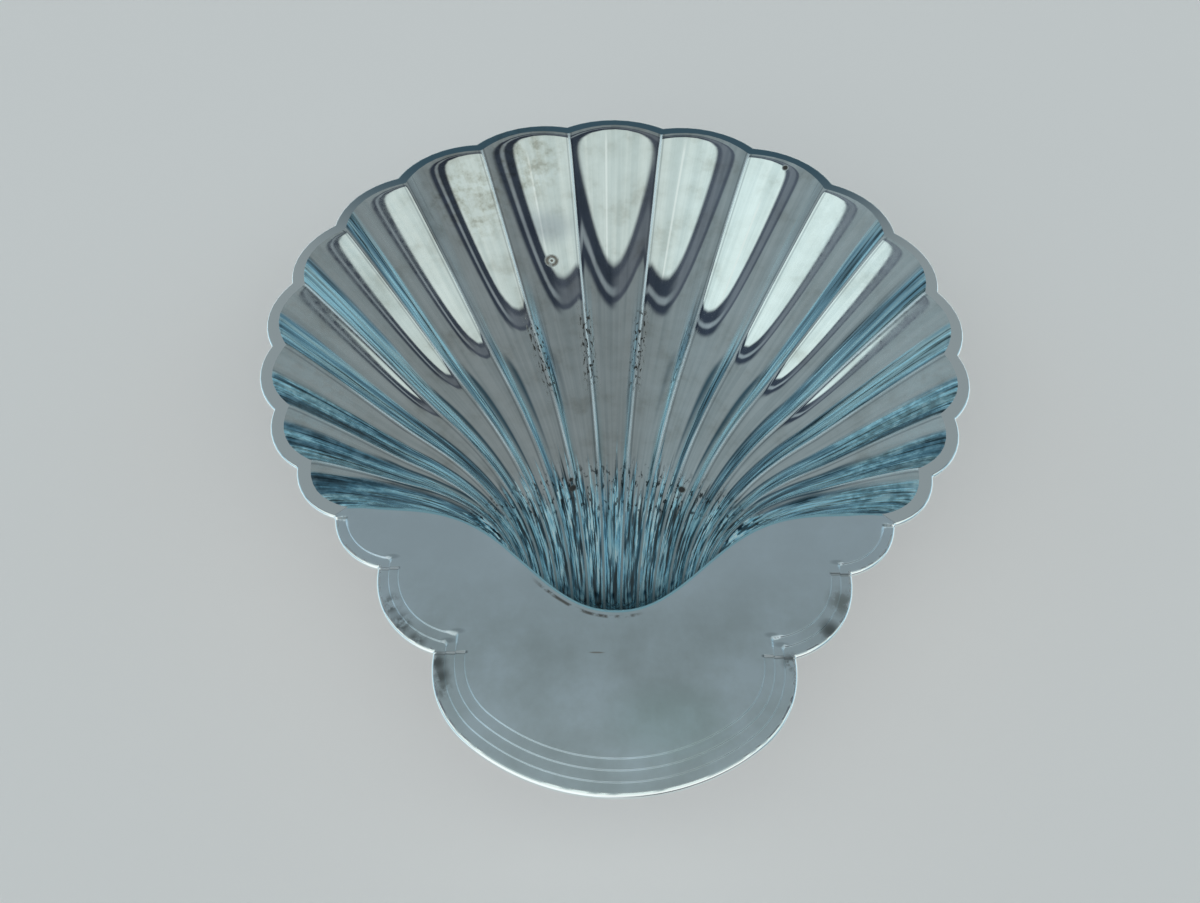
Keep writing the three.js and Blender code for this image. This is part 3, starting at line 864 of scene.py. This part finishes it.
# %% Directions on the sky
world = bpy.data.worlds.new("studio")
world.use_nodes = True
sky = world.node_tree
sky.nodes.clear()
sky_math = partial(math_node, sky)
sky_soft = partial(soft_step, sky)
sky_blend = partial(blend_node, sky)
sky_times = partial(times, sky)
least_height = 0.02
direction = add_node(sky, "ShaderNodeTexCoord").outputs["Generated"]
to_right, to_back, upward = add_node(sky, "ShaderNodeSeparateXYZ", input_0=direction).outputs
height = sky_math("MAXIMUM", upward, least_height)
behind = sky_math("DIVIDE", to_back, height)
beside = sky_math("DIVIDE", to_right, height)
band_low, band_high = -2.0, 3.0
band_place = add_node(sky, "ShaderNodeMapRange", input_0=behind, input_1=band_low,
                      input_2=band_high).outputs[0]


def ceiling_bands(stops):
    """Level bands on the ceiling. Each stop is (distance behind the dish over height, colour)."""
    placed = [((at - band_low) / (band_high - band_low), colour) for at, colour in stops]
    return ramp_node(sky, band_place, placed)

# %% Bands behind the dish
cream, front_panel = (0.76, 0.85, 0.83), (0.95, 0.97, 0.96)
dark, thin_grey, floor_grey = (0.04, 0.052, 0.075), (0.28, 0.32, 0.35), (0.25, 0.285, 0.3)
left_dark, left_grey = (0.085, 0.1, 0.13), (0.16, 0.18, 0.21)
far_dark = (0.04, 0.075, 0.1)
right_bands = ceiling_bands([
    (-0.6, front_panel), (-0.35, cream), (0.18, cream), (0.185, dark), (0.255, dark), (0.26, thin_grey),
    (0.29, thin_grey), (0.295, dark), (0.35, dark), (0.39, floor_grey),
])
left_bands = ceiling_bands([
    (-0.6, front_panel), (-0.35, cream), (0.18, cream), (0.185, left_dark), (0.22, left_dark),
    (0.225, left_grey), (0.3, left_grey), (0.305, left_dark), (0.325, left_dark), (0.34, floor_grey),
])
bands = sky_blend(sky_soft(beside, -0.2, 0.15), left_bands, right_bands)
far = sky_soft(behind, 1.1, 1.45)
narrow = sky_math("DIVIDE", sky_math("ABSOLUTE", beside), sky_math("MAXIMUM", behind, 0.1))
middle = sky_soft(narrow, 0.3, 0.6, 1.0, 0.0)
studio = sky_blend(sky_times(far, middle), bands, far_dark)
print("sky nodes for the bands", len(sky.nodes))

# %% Low parts of the sky
window_blue, far_blue, low_white = (0.4, 0.6, 0.7), (0.19, 0.25, 0.27), (1.1, 1.2, 1.25)
front_white, front_shade = (1.05, 1.12, 1.15), (0.1, 0.11, 0.12)
backdrop = (0.82, 0.82, 0.8)
low_far = sky_times(sky_soft(upward, 0.25, 0.55, 1.0, 0.0), sky_soft(to_back, 0.0, 0.3))
studio = sky_blend(low_far, studio, far_blue)
off_axis = sky_math("ABSOLUTE", to_right)
low_side = sky_times(sky_soft(off_axis, 0.68, 0.76), sky_soft(upward, 0.66, 0.58))
studio = sky_blend(low_side, studio, window_blue)
horizon = sky_times(sky_soft(upward, 0.22, 0.12), sky_soft(off_axis, 0.4, 0.6))
studio = sky_blend(horizon, studio, low_white)
front_light = sky_blend(sky_soft(to_right, -0.2, 0.3), front_white, front_shade)
studio = sky_blend(sky_soft(behind, -1.6, -2.0), studio, front_light)
seen = add_node(sky, "ShaderNodeLightPath").outputs["Is Camera Ray"]
shown = sky_blend(seen, studio, backdrop)
background = add_node(sky, "ShaderNodeBackground", Color=shown)
add_node(sky, "ShaderNodeOutputWorld", Surface=background.outputs[0])
bpy.context.scene.world = world
bpy.context.scene.view_settings.view_transform = "Standard"
print("sky nodes", len(sky.nodes))

# %% [markdown]
# ## Streaks and dull film
# Two things return again and again: fine streaks along a flute, and a cloudy film where the cloth seldom
# goes. They could be painted pictures, but noise has no seams and works at any size. Each is a node group
# that gives masks or a tint, so every use of it can have values of its own.

# %% Helpers for masks
def attribute(tree, name):
    """A number stored on the mesh's points."""
    return add_node(tree, "ShaderNodeAttribute", {"attribute_name": name}).outputs["Fac"]


def noise(tree, vector, scale, detail=3.0, roughness=0.55):
    """Soft noise between 0 and 1."""
    return add_node(tree, "ShaderNodeTexNoise", Vector=vector, Scale=scale, Detail=detail,
                    Roughness=roughness).outputs["Fac"]


def join_axes(tree, **axes):
    """A vector from its X, Y and Z."""
    return add_node(tree, "ShaderNodeCombineXYZ", **axes).outputs[0]


def in_millimetres(tree):
    """A point's own place on its piece, in millimetres."""
    on_object = add_node(tree, "ShaderNodeTexCoord").outputs["Object"]
    scale_up = {"operation": "SCALE"}
    return add_node(tree, "ShaderNodeVectorMath", scale_up, Vector=on_object, Scale=1 / MM).outputs[0]


def new_group(name, inputs, outputs):
    """An empty node group with number or vector inputs and outputs, and its two end nodes."""
    tree = bpy.data.node_groups.new(name, "ShaderNodeTree")
    for socket, kind, value in inputs:
        made = tree.interface.new_socket(socket, in_out="INPUT", socket_type=kind)
        if value is not None:
            made.default_value = value
    for socket, kind in outputs:
        tree.interface.new_socket(socket, in_out="OUTPUT", socket_type=kind)
    return tree, tree.nodes.new("NodeGroupInput").outputs, tree.nodes.new("NodeGroupOutput").inputs


def use_group(tree, group, **inputs):
    """Places a node group and returns its outputs."""
    return add_node(tree, "ShaderNodeGroup", {"node_tree": group}, **inputs).outputs

# %% Group: streaks along the flutes
streaks, given, result = new_group(
    "streaks_along",
    [("Across", "NodeSocketFloat", 0.0), ("Along", "NodeSocketFloat", 0.0),
     ("Fineness", "NodeSocketFloat", 8.0)],
    [("Broad", "NodeSocketFloat"), ("Fine", "NodeSocketFloat")],
)
streak_detail, streak_roughness = 3.0, 0.6
wide = times(streaks, given["Across"], given["Fineness"])
long = times(streaks, given["Along"], given["Fineness"])
broad_place = join_axes(streaks, X=wide, Y=times(streaks, long, 0.5), Z=0.3)
fine_place = join_axes(streaks, X=times(streaks, wide, 4.0), Y=long, Z=4.7)
streaks.links.new(noise(streaks, broad_place, 1.0, streak_detail, streak_roughness), result["Broad"])
streaks.links.new(noise(streaks, fine_place, 1.0, streak_detail, streak_roughness), result["Fine"])
print("streaks", len(streaks.nodes), "nodes")

# %% Group: dull film
film, given, result = new_group(
    "dull_film",
    [("Place", "NodeSocketVector", None), ("Size", "NodeSocketFloat", 8.0)],
    [("Cloud", "NodeSocketFloat"), ("Tint", "NodeSocketColor")],
)
film_tints = [(0.3, (0.6, 0.57, 0.52)), (0.45, (0.88, 0.875, 0.86)), (0.6, (1, 1, 1))]
one_over_size = math_node(film, "DIVIDE", 1.0, given["Size"])
at_size = add_node(film, "ShaderNodeVectorMath", {"operation": "SCALE"}, Vector=given["Place"],
                   Scale=one_over_size)
cloud = noise(film, at_size.outputs[0], 1.0, 5.0, 0.62)
film.links.new(cloud, result["Cloud"])
film.links.new(ramp_node(film, cloud, film_tints), result["Tint"])
print("film", len(film.nodes), "nodes")

# %% [markdown]
# ## Worn silver
# The plate is polished in the bowl, brushed to a satin on the tab, and tarnished where nobody wipes: along
# the flutes at the sides and where they meet behind the tab. It could be a painted picture, but masks
# worked out from numbers on the mesh follow every curve. Flute counts the flutes and shares of them, run
# goes from 0 at the lip to 1 at the rim, and others give the distance to a ridge, to the lip and to a step.

# %% Silver sheet: a material and short names for its nodes
silver = bpy.data.materials.new("polished_silver")
silver.use_nodes = True
paint = silver.node_tree
shader = paint.nodes["Principled BSDF"]
blend = partial(blend_node, paint)
shade = partial(multiply, paint)
ramp = partial(ramp_node, paint)
soft = partial(soft_step, paint)
mask = partial(times, paint)
group = partial(use_group, paint)
stored = partial(attribute, paint)
minus = partial(math_node, paint, "SUBTRACT")
plus = partial(math_node, paint, "ADD")
most = partial(math_node, paint, "MAXIMUM")
place_mm = in_millimetres(paint)
where_x, where_y, where_z = add_node(paint, "ShaderNodeSeparateXYZ", input_0=place_mm).outputs


def off(value, centre):
    """How far a value is from a centre, on either side."""
    return math_node(paint, "ABSOLUTE", minus(value, centre))


def spot(centre, size, stretch=(1, 1, 1), blur=0.35, at=place_mm):
    """Mask of a round or stretched mark: 1 near its centre, and softly down to 0 about size millimetres
    away. A larger blur starts nearer and ends further out."""
    away = add_node(paint, "ShaderNodeVectorMath", {"operation": "SUBTRACT"}, input_0=at, input_1=centre)
    scaled = add_node(paint, "ShaderNodeVectorMath", {"operation": "DIVIDE"}, input_0=away.outputs[0],
                      input_1=stretch)
    length = add_node(paint, "ShaderNodeVectorMath", {"operation": "LENGTH"}, input_0=scaled.outputs[0])
    return soft(length.outputs["Value"], size * (1 + blur), size * (1 - blur))

# %% Silver sheet: where things are
flute, run, off_ridge_mm, to_lip_mm = (stored(name) for name in ("flute", "run", "off_ridge", "to_lip"))
bowl, tab, under = stored("bowl"), stored("tab"), stored("under")
upper = minus(1.0, under)
flange = minus(minus(1.0, bowl), tab)
in_upper_bowl = mask(bowl, upper)
from_side = math_node(paint, "MINIMUM", flute, minus(float(flute_count), flute))
off_crest = off(flute, flute_count / 2)
across = minus(flute, math_node(paint, "FLOOR", flute))
on_right = math_node(paint, "GREATER_THAN", flute, flute_count / 2)
share_low = blend(on_right, across, minus(1.0, across))
long_streaks = group(streaks, Across=flute, Along=run, Fineness=5.5)
broad, fine = long_streaks["Broad"], long_streaks["Fine"]
clouds = group(film, Place=place_mm, Size=9.0)
small_clouds = group(film, Place=place_mm, Size=2.5)
mottle = group(film, Place=place_mm, Size=1.6)
print("nodes that say where things are", len(paint.nodes))

# %% Silver sheet: clean metal with painted side light, and painted highlight lines
tint_and_side_light_stops = [(0.2, (0.8, 0.83, 0.81)), (0.4, (0.76, 0.79, 0.78)), (0.53, (0.72, 0.76, 0.75)),
               (0.58, (0.9, 0.99, 1.0))]
flange_silver, highlight_white = (0.95, 1.0, 1.0), (0.99, 0.99, 0.98)
highlight_lines = [(8.4, 0.83, 0.998), (7.52, 0.86, 0.985), (9.26, 0.81, 0.996), (10.3, 0.8, 0.96)]
# The tint across the flutes is partly painted light: the right-hand flutes are lighter and bluer.
tint_and_side_light = ramp(math_node(paint, "DIVIDE", flute, float(flute_count)), tint_and_side_light_stops)
colour = blend(flange, tint_and_side_light, flange_silver)
haze = group(streaks, Across=flute, Along=run, Fineness=2.4)
haze_tint = ramp(haze["Fine"], [(0.36, (0.8, 0.83, 0.84)), (0.6, (1, 1, 1))])
colour = shade(mask(in_upper_bowl, 0.8), colour, haze_tint)
colour = shade(mask(in_upper_bowl, 0.6), colour, clouds["Tint"])
# Thin near-white lines near the top of the middle flutes are painted highlights.
for line_at, first, last in highlight_lines:
    ends = mask(soft(run, first, first + 0.02), soft(run, last, last - 0.02))
    colour = blend(mask(soft(off(flute, line_at), 0.018, 0.006), ends, 0.5), colour, highlight_white)
print("nodes with the clean metal", len(paint.nodes))

# %% Silver sheet: brown film and a grey bruise on the back wall
bruise_grey = (0.3, 0.33, 0.38)
brown_tints = [(0.34, (0.5, 0.46, 0.39)), (0.46, (0.82, 0.8, 0.75)), (0.58, (1, 1, 1))]
brown = most(spot((-22.7, 69.9, 26.8), 9.0, blur=0.5), spot((-35.0, 57.0, 24.4), 10.0, blur=0.5))
colour = shade(mask(brown, 0.7), colour, ramp(small_clouds["Cloud"], brown_tints))
bruise = spot((-16.8, 54.1, 19.0), 3.0, (1.9, 1.3, 1.3), 0.7)
colour = blend(mask(bruise, 0.5), colour, bruise_grey)
print("nodes with the film", len(paint.nodes))

# %% [markdown]
# ## Tarnish along the flutes
# On the real dish the low side of each flute has kept a blue and brown tarnish, because a cloth glides over
# it from ridge to ridge. A brush stroke for each flute would do, but the band's edge is simply a share of
# the way across, wider towards the sides, and streak noise makes it wander.

# %% Silver sheet: where it is tarnished
near_crest = mask(soft(from_side, 8.6, 7.6), soft(run, 0.86, 0.7))
side = most(soft(from_side, 6.4, 5.4), near_crest)
wander = mask(minus(broad, 0.5), 0.35)
wide_end = add_node(paint, "ShaderNodeMapRange", input_0=from_side, input_1=1.0, input_2=5.6, input_3=0.84,
                    input_4=0.22).outputs[0]
band_end = minus(wide_end, soft(from_side, 5.6, 8.5, 0.0, 0.1))
past_band = minus(plus(share_low, wander), band_end)
tarnished = mask(soft(past_band, 0.06, -0.06), soft(share_low, 0.0, 0.05), side, bowl)
scoop = mask(soft(from_side, 3.6, 2.2), soft(run, 0.7, 0.86), tarnished)
hazy = mask(soft(run, 0.78, 0.96), soft(past_band, -0.02, 0.12), side, in_upper_bowl)
hazy = mask(hazy, soft(mottle["Cloud"], 0.3, 0.6, 0.3, 1.0), soft(from_side, 5.0, 2.0, 0.3, 0.75))
print("nodes with the tarnish masks", len(paint.nodes))

# %% Silver sheet: the tarnish's colours
patina_blue, tarnish_black, haze_blue = (0.46, 0.8, 0.93), (0.02, 0.045, 0.055), (0.55, 0.7, 0.75)
tarnish_tints = [(0.34, (0.06, 0.14, 0.19)), (0.44, (0.22, 0.48, 0.64)), (0.56, (0.62, 0.93, 1.0)),
                 (0.72, (0.36, 0.54, 0.64))]
scoop_tints = [(0.38, (0.03, 0.09, 0.11)), (0.48, (0.25, 0.45, 0.52)), (0.6, (1, 1, 1))]
colour = blend(mask(tarnished, 0.9), colour, ramp(broad, tarnish_tints))
patina = mask(tarnished, soft(fine, 0.51, 0.58), soft(broad, 0.38, 0.52))
colour = blend(patina, colour, patina_blue)
dark_lines = mask(tarnished, soft(fine, 0.44, 0.37))
colour = blend(mask(dark_lines, 0.85), colour, tarnish_black)
colour = shade(mask(scoop, 0.55), colour, ramp(mottle["Cloud"], scoop_tints))
colour = blend(mask(hazy, 0.6), colour, haze_blue)
print("nodes with the tarnish", len(paint.nodes))

# %% [markdown]
# ## Where the flutes meet
# Behind the tab the flutes run together in a place too narrow for a cloth, and the tarnish lies there in
# short bright and dark strokes. The same streaks are used, drawn out less along the flutes, and one coarse
# set of them breaks the zone's upper border into bundles.

# %% Silver sheet: strokes at the front
stroke_tints = [(0.4, tarnish_black), (0.48, (0.1, 0.25, 0.33)), (0.55, (0.32, 0.72, 0.88)),
                (0.64, (0.6, 0.94, 1.0))]
bright_tints = [(0.38, (0.2, 0.5, 0.68)), (0.5, (0.5, 0.86, 0.97)), (0.62, (0.88, 1.0, 1.0))]
strokes = group(streaks, Across=flute, Along=mask(run, 5.0), Fineness=1.9)
bundles = group(streaks, Across=flute, Along=run, Fineness=1.7)
thin_strokes = group(streaks, Across=flute, Along=mask(run, 4.0), Fineness=4.5)
ragged = plus(run, mask(minus(bundles["Fine"], 0.5), 0.5))
meeting = mask(soft(ragged, 0.46, 0.38), in_upper_bowl)
colour = blend(mask(meeting, 0.9), colour, ramp(strokes["Fine"], stroke_tints))
bright = mask(meeting, soft(strokes["Fine"], 0.48, 0.55), soft(run, 0.1, 0.24))
bright = mask(bright, soft(bundles["Broad"], 0.38, 0.55, 0.35, 1.0))
colour = blend(bright, colour, ramp(thin_strokes["Fine"], bright_tints))
patina = most(mask(patina, minus(1.0, meeting)), bright)
print("nodes with the strokes", len(paint.nodes))

# %% Silver sheet: flecks over the strokes and painted shade at the foot of the wall
fleck_black, shade_black = (0.015, 0.025, 0.03), (0.02, 0.035, 0.045)
fleck_place = join_axes(paint, X=mask(flute, 5.0), Y=mask(run, 36.0))
flecks = soft(noise(paint, fleck_place, 1.0, 4.0, 0.7), 0.55, 0.6)
fleck_zone = mask(soft(run, 0.5, 0.44), soft(run, 0.33, 0.38), in_upper_bowl)
colour = blend(mask(flecks, fleck_zone, 0.9), colour, fleck_black)
# The foot of the wall behind the lip is darkened almost to black as painted shade.
wall_foot_shade = mask(soft(run, 0.22, 0.08), soft(off_crest, 5.0, 2.5), in_upper_bowl)
colour = blend(mask(wall_foot_shade, 0.75), colour, shade_black)
print("nodes with the front", len(paint.nodes))

# %% [markdown]
# ## Ridges, pits and marks
# Each ridge gets a painted highlight: a light line along its crest, greyer towards the front, with painted
# shade where it reaches the foot of the wall, and a painted shadow line beside it. They could be lines drawn
# by hand, but the stored distance to the ridge gives both one width all along. Small black pits and one
# corrosion ring are spots in the plate and lose its shine.

# %% Silver sheet: painted highlight and shadow lines on the ridges
ridge_bright, ridge_front, ridge_foot_shade = (0.8, 0.93, 0.98), (0.36, 0.43, 0.45), (0.3, 0.36, 0.38)
ridge_shadow_grey = (0.3, 0.33, 0.37)
# A light line along each crest is a painted highlight, greyer towards the front, with painted shade at the
# foot of the wall.
crest_line = mask(soft(off_ridge_mm, 0.34, 0.12), in_upper_bowl)
at_front = soft(run, 0.55, 0.4)
ridge_highlight = mask(crest_line, most(soft(broad, 0.35, 0.6), at_front))
line_tone = blend(at_front, ridge_bright, ridge_front)
line_tone = shade(soft(run, 0.22, 0.08), line_tone, ridge_foot_shade)
# A darker line beside each crest is a painted shadow line.
ridge_shadow_line = mask(soft(off_ridge_mm, 0.34, 0.5), soft(off_ridge_mm, 0.85, 0.6), in_upper_bowl)
colour = shade(mask(ridge_shadow_line, 0.45), colour, ridge_shadow_grey)
colour = blend(ridge_highlight, colour, line_tone)
print("nodes with the ridges", len(paint.nodes))

# %% Silver sheet: pits, specks and the corrosion ring
pit_black, ring_brown = (0.03, 0.028, 0.025), (0.13, 0.1, 0.065)
specks = [((41.3, 64.8, 29.2), 0.7), ((-8.1, -18.0, 11.1), 0.8), ((13.9, -18.2, 11.4), 0.8),
          ((-8.5, -15.9, 11.1), 0.5)]
ring_place = (-15.0, 45.7, 15.6)
pit_noise = noise(paint, join_axes(paint, X=mask(flute, 24.0), Y=mask(run, 90.0)), 1.0, 2.0)
pit_zone = mask(soft(off(flute, 8.3), 1.9, 1.4), soft(run, 0.6, 0.66), soft(run, 0.8, 0.76))
pit_zone = mask(pit_zone, soft(off_ridge_mm, 2.2, 1.0), upper)
marks = mask(pit_zone, soft(pit_noise, 0.55, 0.59))
for centre, size in specks:
    marks = most(marks, spot(centre, size))
colour = blend(marks, colour, pit_black)
ring = mask(spot(ring_place, 1.55, blur=0.25), minus(1.0, spot(ring_place, 0.8, blur=0.4)))
ring = most(ring, spot(ring_place, 0.35))
ring = mask(ring, soft(mottle["Cloud"], 0.68, 0.5, 0.3, 0.9))
colour = blend(ring, colour, ring_brown)
marks = most(marks, ring)
print("nodes with the marks", len(paint.nodes))

# %% [markdown]
# ## The tab
# The tab is flat and handled at every use, so fine scratches have turned its polish into a satin. Single
# scratches could be drawn, but at this size a higher roughness gives the same grey sheen. Its colour is a
# slow cloud of the film, lighter near the lip. Dark spots along the outer terrace are a painted dark
# reflection, broken up by noise, and a brown line follows the lip. Places are in millimetres on the dish.

# %% Silver sheet: the tab's satin and its painted dark reflection
tab_tints = [(0.38, (0.54, 0.61, 0.63)), (0.5, (0.6, 0.68, 0.71)), (0.62, (0.67, 0.76, 0.81))]
lip_silver, greenish = (0.8, 0.9, 0.97), (0.8, 0.88, 0.83)
dark_reflection_spots = [
    ((-36.2, -54.0, 29.4), 1.4, 0.12), ((-34.0, -57.3, 29.4), 1.5, 0.1), ((-31.3, -60.2, 29.4), 1.3, 0.14),
    ((-27.4, -63.6, 29.1), 1.2, 0.1), ((-26.6, -65.8, 29.1), 1.2, 0.12), ((-25.8, -68.0, 29.1), 1.0, 0.2),
    ((34.2, -57.4, 29.4), 1.5, 0.12), ((37.0, -52.6, 29.4), 2.0, 0.3), ((27.5, -62.9, 29.1), 1.2, 0.12),
]
tab_colour = ramp(group(film, Place=place_mm, Size=16.0)["Cloud"], tab_tints)
tab_colour = blend(mask(soft(where_y, -62.0, -42.0), 0.6), tab_colour, lip_silver)
green_cloud = spot((8.2, -72.9, 29.9), 5.0, (1.5, 1, 1), 0.7)
tab_colour = shade(mask(green_cloud, 0.6), tab_colour, greenish)
broken = soft(small_clouds["Cloud"], 0.62, 0.46)
# Dark spots along the outer terrace are a painted dark reflection.
for centre, size, tone in dark_reflection_spots:
    dark_reflection_spot = mask(spot(centre, size, (1, 1, 3), 0.8), broken, 0.85)
    tab_colour = blend(dark_reflection_spot, tab_colour, (tone, tone * 1.08, tone * 1.05))
print(len(dark_reflection_spots), "smudges on the tab")

# %% Silver sheet: the stain beside the lip and a scratch
stain_brown, scratch_brown = (0.14, 0.12, 0.1), (0.26, 0.22, 0.17)
stain = mask(soft(off(to_lip_mm, 1.15), 0.4, 0.1), soft(off(where_x, -4.5), 9.5, 6.5), broken, 0.85)
tab_colour = blend(stain, tab_colour, stain_brown)
scratch = spot((-2.8, -61.95, 29.9), 0.9, (1.2, 0.14, 1), 0.4)
tab_colour = blend(mask(scratch, 0.7), tab_colour, scratch_brown)
colour = blend(mask(tab, upper), colour, tab_colour)
print("nodes with the tab", len(paint.nodes))

# %% Silver sheet: painted shade in the tab's steps, and a painted highlight on the lip
level_line_shade, step_shade = (0.16, 0.18, 0.19), (0.1, 0.115, 0.12)
corner_shade, lip_highlight_teal = (0.5, 0.52, 0.53), (0.42, 0.76, 0.86)
notches_of_lines = [(46.1, -37.84), (35.7, -47.44), (23.0, -62.14)]
shaded_corners = [(26.1, -60.1, 29.4), (24.7, -58.6, 29.4), (37.0, -45.3, 29.6)]
off_centre = off(where_x, 0.0)
# Dark lines along the level runs of the step lines are painted shade.
shaded_level_parts = 0.0
for x, y in notches_of_lines:
    shaded_level_part = mask(soft(off(where_y, y), 0.3, 0.12), soft(off_centre, x - 0.4, x))
    shaded_level_parts = most(shaded_level_parts, shaded_level_part)
colour = blend(mask(shaded_level_parts, tab, 0.7), colour, level_line_shade)
# The step walls on the right-hand side are darkened as painted shade.
shaded_step_wall = mask(stored("step"), soft(where_x, 4.0, 20.0), tab)
colour = blend(mask(shaded_step_wall, 0.75), colour, step_shade)
both_sides = join_axes(paint, X=off_centre, Y=where_y, Z=where_z)
# Three corners of the steps are darkened as painted shade.
for corner in shaded_corners:
    corner_shadow = spot(corner, 0.7, (1.5, 0.6, 3), 0.5, both_sides)
    colour = shade(mask(corner_shadow, tab, 0.5), colour, corner_shade)
# A light teal line along the lip is a painted highlight on its rounded edge.
lip_highlight = mask(soft(to_lip_mm, 0.5, 0.3), upper)
colour = blend(mask(lip_highlight, 0.85), colour, lip_highlight_teal)
print("nodes with the steps", len(paint.nodes))

# %% [markdown]
# ## How the sheet shines
# Clean plate is a smooth metal. Tarnish and dirt lie on it as a thin coat that hides part of its mirror, so
# where a mask is strong the surface gets rougher and less metallic. The painted highlight on the ridges
# gets rougher and less metallic too, so that its light colour shows. One list for each of the two keeps
# that in view.

# %% Silver sheet: roughness and metal
polished_roughness, satin_roughness = 0.035, 0.36
roughened = [(under, 0.3), (patina, 0.35), (ridge_highlight, 0.35), (marks, 0.5), (tarnished, 0.14), (hazy, 0.2)]
dulled = [(patina, 0.85), (ridge_highlight, 0.6), (tarnished, 0.34), (hazy, 0.3)]
colour = blend(under, colour, clouds["Tint"])
rough = plus(polished_roughness, mask(tab, upper, satin_roughness))
for where, more in roughened:
    rough = plus(rough, mask(where, more))
coated = marks
for where, share in dulled:
    coated = most(coated, mask(where, share))
paint.links.new(colour, shader.inputs["Base Color"])
paint.links.new(rough, shader.inputs["Roughness"])
paint.links.new(minus(1.0, coated), shader.inputs["Metallic"])
dish.data.materials.append(silver)
print("silver nodes", len(paint.nodes))

# %% [markdown]
# ## Feet, pads and solder: duller silver
# Below the bowl nobody polishes. The feet have fine rings from turning, the pads have file marks, and the
# solder is grey and slightly lumpy. Three separate materials could be built, but they differ only in a few
# values, so one function makes them all, with the same film as on the sheet.

# %% Feet, pads and solder: one kind of material
bump_strength = 0.5


def plain_silver(name, tone, smooth_rough, film_size, bump_scales, bump_mm):
    """Dull silver: tone tinted by the film, roughness that varies with it between two values, and a fine
    bump from noise whose axes are scaled apart, so that it reads as rings, file marks or lumps."""
    material = bpy.data.materials.new(name)
    material.use_nodes = True
    tree = material.node_tree
    principled = tree.nodes["Principled BSDF"]
    principled.inputs["Metallic"].default_value = 1
    at = in_millimetres(tree)
    cloudy = use_group(tree, film, Place=at, Size=film_size)
    tree.links.new(multiply(tree, 1.0, tone, cloudy["Tint"]), principled.inputs["Base Color"])
    smoothest, roughest = smooth_rough
    rough = add_node(tree, "ShaderNodeMapRange", input_0=cloudy["Cloud"], input_1=0.3, input_2=0.7,
                     input_3=roughest, input_4=smoothest)
    tree.links.new(rough.outputs[0], principled.inputs["Roughness"])
    pulled = add_node(tree, "ShaderNodeVectorMath", {"operation": "MULTIPLY"}, input_0=at,
                      input_1=bump_scales)
    lumps = noise(tree, pulled.outputs[0], 1.0)
    bump = add_node(tree, "ShaderNodeBump", Height=lumps, Strength=bump_strength, Distance=bump_mm * MM)
    tree.links.new(bump.outputs["Normal"], principled.inputs["Normal"])
    return material

# %% Feet, pads and solder: three finishes
foot_silver = plain_silver("turned_silver", (0.78, 0.79, 0.78), (0.16, 0.4), 3.0, (0.15, 0.15, 6.0), 0.03)
pad_silver = plain_silver("filed_silver", (0.66, 0.67, 0.66), (0.3, 0.5), 2.0, (6.0, 0.4, 6.0), 0.03)
solder_grey = plain_silver("old_solder", (0.5, 0.51, 0.52), (0.35, 0.55), 1.2, (1.4, 1.4, 1.4), 0.1)
for foot, _, place_name in feet:
    foot.data.materials.append(foot_silver)
    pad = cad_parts[f"foot_pad_{place_name}"]
    pad.data.materials.clear()
    pad.data.materials.append(pad_silver)
for piece in solder_pieces:
    piece.data.materials.append(solder_grey)
print("materials", [m.name for m in bpy.data.materials])
